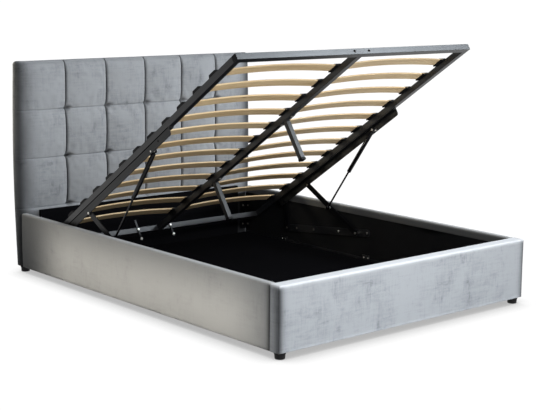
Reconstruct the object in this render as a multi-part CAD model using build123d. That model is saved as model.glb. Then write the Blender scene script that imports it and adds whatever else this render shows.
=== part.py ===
from build123d import *
import os
from math import atan2, cos, degrees, hypot, radians, sin, sqrt

# Ottoman storage bed for a 150 x 200 cm mattress, drawn with its slat frame lifted.
# X runs across the bed, +Y towards the headboard, +Z up. Millimetres.
# The origin is on the floor under the middle of the whole bed.

# Overall size
overall_width = 1570.0
overall_length = 2137.0
foot_height = 30.0
rail_height = 289.0
headboard_height = 1088.0
headboard_corner_radius = 24.0
headboard_thickness = 54.0
foot_panel_thickness = 65.0

# Upholstery and boards
rail_pad = 8.0
rail_board_thickness = 25.0
cover_turnover = 3.0
cover_top = 6.0
cover_band_height = 40.0
cover_edge_radius = 10.0
cover_inner_edge_radius = 4.0
foot_pad = 10.0
foot_board_thickness = 18.0
foot_cover_end = 6.0
batten_width = 45.0
batten_count = 5
headboard_board_thickness = 18.0
headboard_board_inset = 7.0
back_cloth_thickness = 2.0
back_cloth_inset = 3.0
headboard_edge_radius = 9.0

# Biscuit squares of the headboard
square_columns = 6
square_rows = 3
square_row_height = 258.0
square_depth = 12.0
seam_width = 3.0
square_radius = 6.0
square_depths = (12.0, 6.0, 2.5, 0.8, 0.0)
square_insets = (1.5, 4.0, 11.0, 26.0, 55.0)

# Head panel of the storage box
head_panel_thickness = 16.0
head_panel_side_gap = 74.0
head_panel_above_rail = 9.0

# Storage floor and what carries it
floor_thickness = 4.0
floor_surface = 8.7
floor_edge_gap = 4.0
floor_seam = 0.5
beam_height = 13.0
cross_beam_width = 60.0
centre_beam_width = 40.0
cross_beam_shares = (0.1774, 0.5139, 0.8503)
beam_end_gap = 4.0
bracket_thickness = 3.0
bracket_width = 60.0
bracket_rise = 32.0
bracket_shelf = 45.0
runner_thickness = 1.5
runner_rise = 16.0
runner_shelf = 20.0
runner_end_gap = 5.0
bracket_bolt_spacing = 30.0
bracket_bolt_height = 22.0
beam_foot_diameter = 40.0

# Corner brackets and feet
corner_leg = 45.0
corner_thickness = 3.0
corner_height = 170.0
corner_bottom = 30.0
corner_bolt_rows = 3
foot_diameter = 52.0
foot_taper = 2.0
foot_inset = 35.0

# Bolts
bolt_head_diameter = 13.0
bolt_head_height = 4.5
small_head_diameter = 9.0
small_head_height = 2.5
washer_gap = 1.0
running_gap = 0.3
pin_clearance = 0.08

# Slat frame and the gaps round it when it is closed
deck_side_gap = 15.5
deck_foot_gap = 72.0
tube_size = 30.0
tube_wall = 1.5
plug_depth = 12.0
plug_head = 1.5
head_gap = 21.0
deck_recess = 30.0

# Slats and their holders
slat_count = 12
first_slat = 185.0
last_slat_gap = 202.2
slat_width = 53.0
slat_thickness = 8.0
slat_rise = 18.0
slat_seat = 1.5
slat_outer_inset = 8.5
slat_inner_inset = 4.0
holder_width = 63.0
holder_height = 15.0
holder_slope = 8.0
side_holder_outer_inset = 2.5
side_holder_length = 46.0
centre_holder_half_length = 30.0
holder_clearance = 0.3

# Centre legs, at shares of the slat frame's length
leg_shares = (0.3268, 0.6769)
leg_size = 25.0
leg_wall = 1.5
leg_length = 208.0
leg_cap_size = 28.0
leg_cap_height = 12.0
leg_plate_length = 120.0
leg_plate_thickness = 3.0
leg_bolt_spacing = 90.0

# Lift bars: steel angles under the side tubes, placed from the head end of the slat frame
lift_bar_from_head = (1333.0, 225.0)
lift_bar_depth = 38.0
lift_bar_thickness = 4.0
lift_bar_nose_radius = 14.0
lift_bar_ear_radius = 11.0
lift_bolts_from_head = (1265.0, 1025.0, 745.0, 365.0)
lift_side_bolt_from_head = 1226.0

# Pivots on the slat frame: distance from its head end, drop below its top face
front_pivot_from_head = (504.0, 65.5)
rear_pivot_from_head = (265.5, 55.5)
strut_pivot_from_head = (1148.0, 57.0)

# Lift mechanism
open_tilt = 33.76
front_arm_length = 451.3
front_arm_open_angle = 28.86
front_base_height = 151.4
rear_arm_length = 154.0
strut_foot_on_arm = 236.0
arm_width = 30.0
arm_thickness = 5.0
base_bar_width = 40.0
base_bar_thickness = 5.0
base_bar_overhang = 70.0
base_bar_screw_places = (78.0, 224.0, 428.0)
pivot_radius = 5.0
strut_pin_radius = 4.0
bush_radius = 8.0

# Gas struts
strut_inset = 21.5
strut_eye_radius = 10.0
strut_eye_thickness = 12.0
cylinder_radius = 11.0
cylinder_bore = 9.0
cylinder_length = 290.0
cylinder_start = 16.0
cylinder_end_wall = 12.0
rod_radius = 5.0
piston_radius = 8.8
piston_length = 14.0
rod_reserve = 40.0
rod_clearance = 0.2

# Small fittings on the end tubes
end_bolt_spacing = 90.0
end_bracket_places = (-147.0, 70.0)
end_bracket_tops = (45.0, -2.0)
end_bracket_width = 12.0
end_bracket_thickness = 4.0
end_bracket_length = 80.0
end_bracket_bolts = (12.0, 68.0)
end_bracket_head_diameter = 14.0
end_bracket_head_height = 5.0

# Places worked out from the sizes above
half_width = overall_width / 2
rail_thickness = rail_pad + rail_board_thickness + cover_turnover
rail_inner = half_width - rail_thickness
y_foot = -overall_length / 2
y_back = overall_length / 2
y_head = y_back - headboard_thickness
y_box_foot = y_foot + foot_panel_thickness
z_rail = foot_height
z_rail_top = z_rail + rail_height
z_floor = z_rail + floor_surface
z_beam_top = z_floor - floor_thickness
z_beam = z_beam_top - beam_height
box_length = y_head - y_box_foot
deck_length = box_length - head_gap - deck_foot_gap
deck_half_width = rail_inner - deck_side_gap
slat_pitch = (deck_length - first_slat - last_slat_gap) / (slat_count - 1)
base_bar_face = rail_inner - base_bar_thickness
lift_bar_inner = deck_half_width - lift_bar_thickness
strut_plane = lift_bar_inner - strut_inset
front_arm_outer = lift_bar_inner - washer_gap
front_arm_inner = front_arm_outer - arm_thickness
rear_arm_outer = base_bar_face - washer_gap
rear_arm_inner = rear_arm_outer - arm_thickness


# Points in the side plane are pairs (y, z), and those of the slat frame are (distance, drop) pairs
def from_foot_end(place):
    """Point of the slat frame given from its head end, counted from its foot end instead."""
    return deck_length - place[0], place[1]


def reach(start, length, angle):
    """Point at a length and an angle in degrees, counted from +Y towards +Z, from a start point."""
    return start[0] + length * cos(radians(angle)), start[1] + length * sin(radians(angle))


def turned(point, angle):
    """Point turned about the origin of the side plane by an angle in degrees from +Y towards +Z."""
    length = hypot(point[0], point[1])
    return reach((0, 0), length, degrees(atan2(point[1], point[0])) + angle)


def between(start, end):
    """Length and angle in degrees of the line from one point of the side plane to another."""
    run, rise = end[0] - start[0], end[1] - start[1]
    return hypot(run, rise), degrees(atan2(rise, run))


def evenly_reached(first, second, length):
    """Point at the same length from two points, on the left of the line from the first to the second."""
    gap, angle = between(first, second)
    middle = reach(first, gap / 2, angle)
    return reach(middle, sqrt(length**2 - (gap / 2) ** 2), angle + 90)


# Closed place of the slat frame, then its open place from the front arm
front_pivot = from_foot_end(front_pivot_from_head)
rear_pivot = from_foot_end(rear_pivot_from_head)
strut_pivot = from_foot_end(strut_pivot_from_head)
closed_foot_end = y_head - head_gap - deck_length
closed_top = z_rail_top - deck_recess
closed_front_pivot = (closed_foot_end + front_pivot[0], closed_top - front_pivot[1])
closed_rear_pivot = (closed_foot_end + rear_pivot[0], closed_top - rear_pivot[1])
closed_strut_pivot = (closed_foot_end + strut_pivot[0], closed_top - strut_pivot[1])
front_base_rise = closed_front_pivot[1] - z_rail - front_base_height
front_base = (
    closed_front_pivot[0] - sqrt(front_arm_length**2 - front_base_rise**2),
    z_rail + front_base_height,
)
open_front_pivot = reach(front_base, front_arm_length, front_arm_open_angle)


def opened(place, drop):
    """Side-plane point of the open slat frame, from its distance along it and its drop below its top."""
    local = turned((place - front_pivot[0], front_pivot[1] - drop), -open_tilt)
    return open_front_pivot[0] + local[0], open_front_pivot[1] + local[1]


open_rear_pivot = opened(*rear_pivot)
open_strut_pivot = opened(*strut_pivot)
rear_base = evenly_reached(closed_rear_pivot, open_rear_pivot, rear_arm_length)
closed_arm_angle = between(front_base, closed_front_pivot)[1]
open_strut_foot = reach(front_base, strut_foot_on_arm, front_arm_open_angle)
closed_strut_foot = reach(front_base, strut_foot_on_arm, closed_arm_angle)
open_strut_length, open_strut_angle = between(open_strut_pivot, open_strut_foot)
closed_strut_length, closed_strut_angle = between(closed_strut_pivot, closed_strut_foot)
strut_stroke = open_strut_length - closed_strut_length
deck_place = (
    Pos(0, *open_front_pivot) * Rot(X=-open_tilt) * Pos(0, -front_pivot[0], front_pivot[1])
)


# Shapes that many pieces use
def block(x_span, y_span, z_span):
    """Box from three (low, high) spans."""
    size = [span[1] - span[0] for span in (x_span, y_span, z_span)]
    middle = [(span[0] + span[1]) / 2 for span in (x_span, y_span, z_span)]
    return Pos(*middle) * Box(*size)


def upright_rod(radius, x, y, z_span):
    """Round bar along Z."""
    height = z_span[1] - z_span[0]
    return Pos(x, y, z_span[0] + height / 2) * Cylinder(radius, height)


def cross_rod(radius, point, x_span):
    """Round bar along X through a point of the side plane."""
    height = x_span[1] - x_span[0]
    return Pos(x_span[0] + height / 2, *point) * Rot(Y=90) * Cylinder(radius, height)


def long_rod(radius, x, z, y_span):
    """Round bar along Y."""
    height = y_span[1] - y_span[0]
    return Pos(x, y_span[0] + height / 2, z) * Rot(X=90) * Cylinder(radius, height)


def side_plane(x, point, angle):
    """Plane facing +X at a point of the side plane, its own X turned by an angle towards +Z."""
    heading = (0, cos(radians(angle)), sin(radians(angle)))
    return Plane(origin=(x, *point), x_dir=heading, z_dir=(1, 0, 0))


def link_bar(start, end, width, x_span, holes):
    """Flat bar with round ends between two side-plane points, with (distance, radius) holes."""
    length, angle = between(start, end)
    outline = Pos(length / 2, 0) * SlotCenterToCenter(length, width)
    for distance, radius in holes:
        outline -= Pos(distance, 0) * Circle(radius)
    return extrude(side_plane(x_span[0], start, angle) * outline, x_span[1] - x_span[0])


def box_tube(x_span, y_span, z_span, wall, along):
    """Square tube, open at both ends, along the axis with the given number."""
    spans = [x_span, y_span, z_span]
    inner = [
        span if number == along else (span[0] + wall, span[1] - wall)
        for number, span in enumerate(spans)
    ]
    return block(*spans) - block(*inner)


def left(solid):
    """The same piece on the other side of the bed."""
    return mirror(solid, about=Plane.YZ)


def both(solid):
    """A piece and its mirror image."""
    return [solid, left(solid)]


# Headboard
def headboard_outline(inset, bottom):
    """Face of the headboard in the XZ plane with rounded top corners, set in by an inset at its edges."""
    side = half_width - inset
    top = z_rail + headboard_height - inset
    outline = make_face(Polyline((-side, bottom), (side, bottom), (side, top), (-side, top), close=True))
    corners = outline.vertices().sort_by(Axis.Y)[-2:]
    return Plane.XZ * fillet(corners, headboard_corner_radius - inset)


def biscuit_square(x, z, width, height):
    """Padded square: a crowned pillow standing out of the sunk face of the headboard."""

    def section(depth, inset):
        """Rounded rectangle at a depth behind the crown."""
        face = RectangleRounded(width - inset - inset, height - inset - inset, square_radius + inset / 2)
        return Plane(origin=(x, y_head + depth, z), x_dir=(1, 0, 0), z_dir=(0, -1, 0)) * face

    return loft([section(*pair) for pair in zip(square_depths, square_insets)], ruled=True)


def headboard():
    """Board, cushion with its squares, and the cloth on the back."""
    y_board = y_back - back_cloth_thickness - headboard_board_thickness
    board = extrude(headboard_outline(headboard_board_inset, z_rail), -headboard_board_thickness)
    board = Pos(0, y_board, 0) * board
    depth = headboard_thickness - square_depth
    slab = Pos(0, y_head + square_depth, 0) * extrude(headboard_outline(0, z_rail), -depth)
    front_rim = slab.faces().sort_by(Axis.Y)[0].edges().sort_by(Axis.Z)[1:]
    slab = fillet(front_rim, headboard_edge_radius)
    pitch = overall_width / square_columns
    plain_top = z_rail + headboard_height - square_rows * square_row_height
    within = Pos(0, y_head, 0) * extrude(headboard_outline(square_insets[0], z_rail), -square_depth)
    squares = []
    for row in range(square_rows):
        z = plain_top + (row + 1 / 2) * square_row_height
        for column in range(square_columns):
            x = -half_width + (column + 1 / 2) * pitch
            squares.append(biscuit_square(x, z, pitch, square_row_height) & within)
    plain = block(
        (-half_width, half_width), (y_head, y_head + square_depth + seam_width), (z_rail, plain_top)
    )
    cushion = slab.fuse(plain, *squares)
    room = extrude(headboard_outline(headboard_board_inset, z_rail), -headboard_thickness)
    cushion -= Pos(0, y_board, 0) * room
    y_cloth = y_back - back_cloth_thickness
    cushion -= Pos(0, y_cloth, 0) * extrude(headboard_outline(0, z_rail), -headboard_thickness)
    cloth_outline = headboard_outline(back_cloth_inset, z_rail + back_cloth_inset)
    cloth = Pos(0, y_cloth, 0) * extrude(cloth_outline, -back_cloth_thickness)
    return {
        "headboard_board": board,
        "headboard_cushion": cushion,
        "headboard_back_cloth": cloth,
    }


# Side rails and foot panel
def rails():
    """Board and turned-over cover of each side rail."""
    y_span = (y_box_foot, y_head)
    board_span = (half_width - rail_pad - rail_board_thickness, half_width - rail_pad)
    board = block(board_span, y_span, (z_rail, z_rail_top - cover_top))
    band_bottom = z_rail_top - cover_band_height
    cover = block((rail_inner, half_width), y_span, (z_rail, z_rail_top)) - board
    cover -= block((rail_inner, board_span[0]), y_span, (z_rail, band_bottom))
    top_edges = cover.edges().filter_by(Axis.Y).group_by(Axis.Z)[-1].sort_by(Axis.X)
    cover = fillet(top_edges[-1], cover_edge_radius)
    top_edges = cover.edges().filter_by(Axis.Y).group_by(Axis.Z)[-1].sort_by(Axis.X)
    cover = fillet(top_edges[0], cover_inner_edge_radius)
    return {
        "left_rail_board": left(board),
        "right_rail_board": board,
        "left_rail_cover": left(cover),
        "right_rail_cover": cover,
    }


def foot_panel():
    """Front board, battens behind it and the cover of the panel across the foot end."""
    x_board = half_width - foot_cover_end
    y_board = (y_foot + foot_pad, y_foot + foot_pad + foot_board_thickness)
    y_batten = (y_board[1], y_box_foot - cover_turnover)
    z_board = (z_rail, z_rail_top - cover_top)
    board = block((-x_board, x_board), y_board, z_board)
    battens = [
        block((-x_board, x_board), y_batten, (z_board[0], z_board[0] + batten_width)),
        block((-x_board, x_board), y_batten, (z_board[1] - batten_width, z_board[1])),
    ]
    step = (x_board + x_board - batten_width) / (batten_count - 1)
    for number in range(batten_count):
        x = -x_board + number * step
        z_span = (z_board[0] + batten_width, z_board[1] - batten_width)
        battens.append(block((x, x + batten_width), y_batten, z_span))
    cover = block((-half_width, half_width), (y_foot, y_box_foot), (z_rail, z_rail_top))
    cover -= block((-x_board, x_board), (y_board[0], y_batten[1]), z_board)
    z_lining = (z_rail, z_rail_top - cover_band_height)
    lining_room = block((-rail_inner, rail_inner), (y_batten[1], y_box_foot), z_lining)
    cover -= lining_room
    top_edges = cover.edges().group_by(Axis.Z)[-1]
    front_edge = top_edges.sort_by(Axis.Y)[0]
    end_edges = [top_edges.sort_by(Axis.X)[0], top_edges.sort_by(Axis.X)[-1]]
    cover = fillet([front_edge, *end_edges], cover_inner_edge_radius)
    return {
        "foot_panel_board": board,
        "foot_panel_battens": battens,
        "foot_panel_cover": cover,
    }


def storage_lining():
    """Black lining on the inner faces of the two rails and the foot panel."""
    z_span = (z_rail, z_rail_top - cover_band_height)
    side = block((rail_inner, rail_inner + cover_turnover), (y_box_foot, y_head), z_span)
    foot = block((-rail_inner, rail_inner), (y_box_foot - cover_turnover, y_box_foot), z_span)
    return [*both(side), foot]


def head_panel():
    """Black panel that closes the head end of the storage box."""
    half = rail_inner - head_panel_side_gap
    z_span = (z_floor, z_rail_top + head_panel_above_rail)
    return block((-half, half), (y_head - head_panel_thickness, y_head), z_span)


# Storage floor
def storage_floor():
    """Two floor panels, the halved beams and brackets that carry them, and their small feet."""
    floor_edge = rail_inner - floor_edge_gap
    y_span = (y_box_foot + floor_edge_gap, y_head - floor_edge_gap)
    floor = block((floor_seam / 2, floor_edge), y_span, (z_beam_top, z_floor))
    z_lap = (z_beam + z_beam_top) / 2
    half_beam = cross_beam_width / 2
    x_centre = (-centre_beam_width / 2, centre_beam_width / 2)
    beam_end = rail_inner - beam_end_gap
    centre_beam = block(x_centre, y_span, (z_beam, z_beam_top))
    y_beams = [y_head - share * box_length for share in cross_beam_shares]
    cross_beams, feet, brackets, bolts, runners = [], [], [], [], []
    for y in y_beams:
        y_beam = (y - half_beam, y + half_beam)
        cross_beam = block((-beam_end, beam_end), y_beam, (z_beam, z_beam_top))
        cross_beams.append(cross_beam - block(x_centre, y_beam, (z_beam, z_lap)))
        centre_beam -= block(x_centre, y_beam, (z_lap, z_beam_top))
        feet.append(upright_rod(beam_foot_diameter / 2, 0, y, (0, z_beam)))
        y_bracket = (y - bracket_width / 2, y + bracket_width / 2)
        z_plate = (z_beam - bracket_thickness, z_beam_top + bracket_rise)
        plate = block((rail_inner - bracket_thickness, rail_inner), y_bracket, z_plate)
        plate += block((rail_inner - bracket_shelf, rail_inner), y_bracket, (z_plate[0], z_beam))
        brackets += both(plate)
        face = rail_inner - bracket_thickness
        for side in (-1, 1):
            point = (y + side * bracket_bolt_spacing / 2, z_rail + bracket_bolt_height)
            bolts += both(cross_rod(small_head_diameter / 2, point, (face - small_head_height, face)))
    stops = [y_span[1] + half_beam, *y_beams, y_span[0] - half_beam]
    for high, low in zip(stops[:-1], stops[1:]):
        y_runner = (low + half_beam + runner_end_gap, high - half_beam - runner_end_gap)
        z_runner = (z_beam_top - runner_thickness, z_beam_top + runner_rise)
        runner = block((rail_inner - runner_thickness, rail_inner), y_runner, z_runner)
        runner += block((rail_inner - runner_shelf, rail_inner), y_runner, (z_runner[0], z_beam_top))
        runners += both(runner)
    return {
        "left_floor_panel": left(floor),
        "right_floor_panel": floor,
        "floor_cross_beams": cross_beams,
        "floor_centre_beam": centre_beam,
        "floor_beam_feet": feet,
        "floor_beam_brackets": brackets,
        "floor_bracket_bolts": bolts,
        "floor_runners": runners,
    }


def corners():
    """Steel angle in each inner corner of the box, with its bolt heads."""
    z_span = (z_rail + corner_bottom, z_rail + corner_bottom + corner_height)
    brackets, bolts = [], []
    for y_wall, inward in ((y_box_foot, 1), (y_head, -1)):
        y_thin = sorted((y_wall, y_wall + inward * corner_thickness))
        y_long = sorted((y_wall, y_wall + inward * corner_leg))
        angle = block((rail_inner - corner_thickness, rail_inner), y_long, z_span)
        angle += block((rail_inner - corner_leg, rail_inner), y_thin, z_span)
        brackets += both(angle)
        for row in range(corner_bolt_rows):
            z = z_span[0] + (row + 1 / 2) * corner_height / corner_bolt_rows
            y_bolt = y_wall + inward * (corner_leg + corner_thickness) / 2
            face = rail_inner - corner_thickness
            head = cross_rod(bolt_head_diameter / 2, (y_bolt, z), (face - bolt_head_height, face))
            bolts += both(head)
            x_bolt = rail_inner - (corner_leg + corner_thickness) / 2
            y_face = y_wall + inward * corner_thickness
            y_head_span = sorted((y_face, y_face + inward * bolt_head_height))
            bolts += both(long_rod(bolt_head_diameter / 2, x_bolt, z, y_head_span))
    return {"corner_brackets": brackets, "corner_bolts": bolts}


def bed_feet():
    """Four round feet: two under the foot panel, two under the headboard."""
    feet = []
    for y in (y_foot + foot_inset, (y_head + y_back) / 2):
        foot = upright_rod(foot_diameter / 2, half_width - foot_inset, y, (0, foot_height))
        foot = chamfer(foot.edges().group_by(Axis.Z)[0], foot_taper)
        feet += both(foot)
    return feet


# Lift mechanism on the rails
def base_bars():
    """Flat bar screwed to each rail, with its screws and the pivots of the two arms."""
    length, angle = between(front_base, rear_base)
    start = reach(front_base, -base_bar_overhang, angle)
    bar = link_bar(start, rear_base, base_bar_width, (base_bar_face, rail_inner), ())
    screws = []
    head_span = (base_bar_face - small_head_height, base_bar_face)
    screw_points = [reach(rear_base, distance, angle + 180) for distance in base_bar_screw_places]
    for point in [start, *screw_points]:
        screws += both(cross_rod(bolt_head_diameter / 2, point, head_span))
    front_pin = cross_rod(
        pivot_radius, front_base, (front_arm_inner - washer_gap, base_bar_face)
    )
    front_pin += cross_rod(bush_radius, front_base, (front_arm_outer + running_gap, base_bar_face))
    front_pin += cross_rod(
        bolt_head_diameter / 2,
        front_base,
        (front_arm_inner - running_gap - bolt_head_height, front_arm_inner - running_gap),
    )
    rear_pin = cross_rod(pivot_radius, rear_base, (rear_arm_inner - washer_gap, base_bar_face))
    rear_pin += cross_rod(bush_radius, rear_base, (rear_arm_outer + running_gap, base_bar_face))
    rear_pin += cross_rod(
        bolt_head_diameter / 2,
        rear_base,
        (rear_arm_inner - running_gap - small_head_height, rear_arm_inner - running_gap),
    )
    return {
        "left_base_bar": left(bar),
        "right_base_bar": bar,
        "base_bar_screws": screws,
        "front_arm_base_pins": both(front_pin),
        "rear_arm_base_pins": both(rear_pin),
    }


def front_arms():
    """Long arm of each side, with the stud that carries the foot of the gas strut."""
    holes = ((0, pivot_radius + pin_clearance), (front_arm_length, pivot_radius + pin_clearance))
    x_span = (front_arm_inner, front_arm_outer)
    arm = link_bar(front_base, open_front_pivot, arm_width, x_span, holes)
    eye_face = strut_plane + strut_eye_thickness / 2
    stud_span = (eye_face + running_gap, front_arm_inner)
    stud = cross_rod(bush_radius, open_strut_foot, stud_span)
    return {"left_front_arm": left(arm), "right_front_arm": arm, "strut_foot_studs": both(stud)}


def rear_arms():
    """Short arm of each side, with the stud that meets the slat frame at the opened pivot."""
    holes = ((0, pivot_radius + pin_clearance),)
    arm = link_bar(rear_base, open_rear_pivot, arm_width, (rear_arm_inner, rear_arm_outer), holes)
    arm += cross_rod(bush_radius, open_rear_pivot, (deck_half_width + running_gap, rear_arm_inner))
    return {"left_rear_arm": left(arm), "right_rear_arm": arm}


# Gas struts, drawn along Z and turned into their open place
def strut_place():
    """Place of the strut: its Z axis runs from the pivot on the slat frame towards the front arm."""
    heading = (0, cos(radians(open_strut_angle)), sin(radians(open_strut_angle)))
    return Plane(origin=(strut_plane, *open_strut_pivot), x_dir=(1, 0, 0), z_dir=heading).location


def strut_eye(distance, hole_radius):
    """Flat round eye with a hole across the strut."""
    eye = Pos(0, 0, distance) * Rot(Y=90) * Cylinder(strut_eye_radius, strut_eye_thickness)
    return eye - Pos(0, 0, distance) * Rot(Y=90) * Cylinder(hole_radius, strut_eye_thickness)


def gas_struts():
    """Cylinder with its upper eye, and rod with its piston and lower eye, for each side."""
    cylinder_end = cylinder_start + cylinder_length
    cylinder = upright_rod(cylinder_radius, 0, 0, (cylinder_start, cylinder_end))
    bore_span = (cylinder_start + cylinder_end_wall, cylinder_end - cylinder_end_wall)
    cylinder -= upright_rod(cylinder_bore, 0, 0, bore_span)
    cylinder -= upright_rod(rod_radius + rod_clearance, 0, 0, (bore_span[1], cylinder_end))
    neck_span = (strut_eye_radius - strut_pin_radius, cylinder_start)
    cylinder += upright_rod(strut_pin_radius, 0, 0, neck_span)
    cylinder += strut_eye(0, strut_pin_radius + pin_clearance)
    rod_top = cylinder_end - cylinder_end_wall - rod_reserve
    rod = upright_rod(rod_radius, 0, 0, (rod_top, open_strut_length - strut_eye_radius / 2))
    rod += upright_rod(piston_radius, 0, 0, (rod_top, rod_top + piston_length))
    rod += Pos(0, 0, open_strut_length) * Rot(Y=90) * Cylinder(strut_eye_radius, strut_eye_thickness)
    bolt = Pos(-strut_eye_thickness / 2 - bolt_head_height / 2, 0, open_strut_length) * Rot(Y=90)
    rod += bolt * Cylinder(bolt_head_diameter / 2, bolt_head_height)
    cylinder, rod = strut_place() * cylinder, strut_place() * rod
    return {
        "left_strut_cylinder": left(cylinder),
        "right_strut_cylinder": cylinder,
        "left_strut_rod": left(rod),
        "right_strut_rod": rod,
    }


# Slat frame, drawn in its own frame and placed open at the end
def deck_tubes():
    """Five square tubes and the plugs in the open ends of the two cross tubes."""
    z_span = (-tube_size, 0)
    side = box_tube(
        (deck_half_width - tube_size, deck_half_width),
        (tube_size, deck_length - tube_size),
        z_span,
        tube_wall,
        1,
    )
    centre = box_tube(
        (-tube_size / 2, tube_size / 2), (tube_size, deck_length - tube_size), z_span, tube_wall, 1
    )
    x_end = (-deck_half_width + plug_head, deck_half_width - plug_head)
    y_foot_tube = (0, tube_size)
    y_head_tube = (deck_length - tube_size, deck_length)
    plugs = []
    for y_span in (y_foot_tube, y_head_tube):
        inner_y = (y_span[0] + tube_wall, y_span[1] - tube_wall)
        inner_z = (z_span[0] + tube_wall, z_span[1] - tube_wall)
        plug = block((x_end[1], deck_half_width), y_span, z_span)
        plug += block((x_end[1] - plug_depth, x_end[1]), inner_y, inner_z)
        plugs += both(plug)
    return {
        "left_side_tube": left(side),
        "right_side_tube": side,
        "centre_tube": centre,
        "foot_end_tube": box_tube(x_end, y_foot_tube, z_span, tube_wall, 0),
        "head_end_tube": box_tube(x_end, y_head_tube, z_span, tube_wall, 0),
        "tube_end_plugs": plugs,
    }


def slat_form(y, extra):
    """Bowed slat across one column, grown by an extra thickness all round."""
    x_out, x_in = deck_half_width - slat_outer_inset + extra, slat_inner_inset - extra
    x_middle = (x_out + x_in) / 2
    low, high = slat_seat - extra, slat_seat + slat_thickness + extra
    under = ThreePointArc((x_in, low), (x_middle, low + slat_rise), (x_out, low))
    over = ThreePointArc((x_out, high), (x_middle, high + slat_rise), (x_in, high))
    ends = Line((x_out, low), (x_out, high)) + Line((x_in, high), (x_in, low))
    face = make_face(Plane.XZ * (under + over + ends))
    width = slat_width + extra + extra
    return Pos(0, y + width / 2, 0) * extrude(face, width)


def holder_body(x_span, y):
    """Holder with sloping ends, standing on a tube."""
    half, top_half = holder_width / 2, holder_width / 2 - holder_slope
    outline = make_face(
        Polyline((-half, 0), (half, 0), (top_half, holder_height), (-top_half, holder_height), close=True)
    )
    return extrude(side_plane(x_span[0], (y, 0), 0) * outline, x_span[1] - x_span[0])


def slats_and_holders():
    """Two columns of bowed slats in side holders and double centre holders."""
    slats, side_holders, centre_holders = [], [], []
    x_outer = deck_half_width - side_holder_outer_inset
    for number in range(slat_count):
        y = first_slat + number * slat_pitch
        slats.append(slat_form(y, 0))
        room = slat_form(y, holder_clearance)
        side_holders.append(holder_body((x_outer - side_holder_length, x_outer), y) - room)
        centre = holder_body((-centre_holder_half_length, centre_holder_half_length), y)
        centre_holders.append(centre - room - left(room))
    return {
        "left_slats": [left(slat) for slat in slats],
        "right_slats": slats,
        "left_slat_holders": [left(holder) for holder in side_holders],
        "right_slat_holders": side_holders,
        "centre_slat_holders": centre_holders,
    }


def centre_legs():
    """Two square legs under the centre tube, each on a bolted plate, with plastic end caps."""
    half = leg_size / 2
    z_plate = (-tube_size - leg_plate_thickness, -tube_size)
    z_leg = (-tube_size - leg_length, z_plate[0])
    nodes = {"leg_end_caps": [], "leg_bolts": []}
    for name, share in zip(("front_centre_leg", "rear_centre_leg"), leg_shares):
        y = share * deck_length
        leg = box_tube((-half, half), (y - half, y + half), z_leg, leg_wall, 2)
        y_plate = (y - leg_plate_length / 2, y + leg_plate_length / 2)
        nodes[name] = leg + block((-tube_size / 2, tube_size / 2), y_plate, z_plate)
        cap_half = leg_cap_size / 2
        cap = block(
            (-cap_half, cap_half), (y - cap_half, y + cap_half), (z_leg[0] - leg_cap_height, z_leg[0])
        )
        cap = fillet(cap.edges().filter_by(Axis.Z), leg_wall)
        nodes["leg_end_caps"].append(cap)
        for side in (-1, 1):
            y_bolt = y + side * leg_bolt_spacing / 2
            span = (z_plate[0] - bolt_head_height, z_plate[0])
            nodes["leg_bolts"].append(upright_rod(bolt_head_diameter / 2, 0, y_bolt, span))
    return nodes


def lift_bars():
    """Steel angle under each side tube with ears at its pivots, its bolts, and the pins of two pivots."""
    z_top = -tube_size
    z_low = z_top - lift_bar_depth
    y_span = [deck_length - distance for distance in lift_bar_from_head]
    web = block((lift_bar_inner, deck_half_width), y_span, (z_low, z_top))
    nose = web.edges().filter_by(Axis.X).group_by(Axis.Z)[0]
    web = fillet(nose, lift_bar_nose_radius)
    x_tube = deck_half_width - tube_size
    flange = block((x_tube, lift_bar_inner), y_span, (z_top - lift_bar_thickness, z_top))
    bar = web + flange
    hole_radius = pivot_radius + pin_clearance
    for place, drop in (front_pivot, strut_pivot):
        bar += cross_rod(lift_bar_ear_radius, (place, -drop), (lift_bar_inner, deck_half_width))
        bar -= cross_rod(hole_radius, (place, -drop), (lift_bar_inner, deck_half_width))
    bolts = []
    z_face = z_top - lift_bar_thickness
    for distance in lift_bolts_from_head:
        place = (deck_half_width - tube_size / 2, deck_length - distance)
        bolts.append(upright_rod(small_head_diameter / 2, *place, (z_face - small_head_height, z_face)))
    bolts = [solid for bolt in bolts for solid in both(bolt)]
    side_span = (deck_half_width, deck_half_width + small_head_height)
    side_point = (deck_length - lift_side_bolt_from_head, z_top - tube_size / 2)
    rear_span = (lift_bar_inner - bolt_head_height, lift_bar_inner)
    bolts += both(cross_rod(small_head_diameter / 2, side_point, side_span))
    bolts += both(cross_rod(bolt_head_diameter / 2, (rear_pivot[0], -rear_pivot[1]), rear_span))
    front_point = (front_pivot[0], -front_pivot[1])
    front_inner = front_arm_inner - running_gap
    front_pin = cross_rod(pivot_radius, front_point, (front_inner, deck_half_width))
    front_pin += cross_rod(
        bolt_head_diameter / 2, front_point, (deck_half_width, deck_half_width + bolt_head_height)
    )
    front_pin += cross_rod(
        bolt_head_diameter / 2, front_point, (front_inner - bolt_head_height, front_inner)
    )
    strut_point = (strut_pivot[0], -strut_pivot[1])
    eye_low = strut_plane - strut_eye_thickness / 2 - running_gap
    eye_high = strut_plane + strut_eye_thickness / 2 + running_gap
    strut_pin = cross_rod(strut_pin_radius, strut_point, (eye_low, lift_bar_inner))
    strut_pin += cross_rod(pivot_radius, strut_point, (lift_bar_inner, deck_half_width))
    strut_pin += cross_rod(bush_radius, strut_point, (eye_high, lift_bar_inner))
    strut_pin += cross_rod(
        bolt_head_diameter / 2, strut_point, (eye_low - bolt_head_height, eye_low)
    )
    return {
        "left_lift_bar": left(bar),
        "right_lift_bar": bar,
        "lift_bar_bolts": bolts,
        "front_pivot_pins": both(front_pin),
        "strut_pivot_pins": both(strut_pin),
    }


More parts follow.
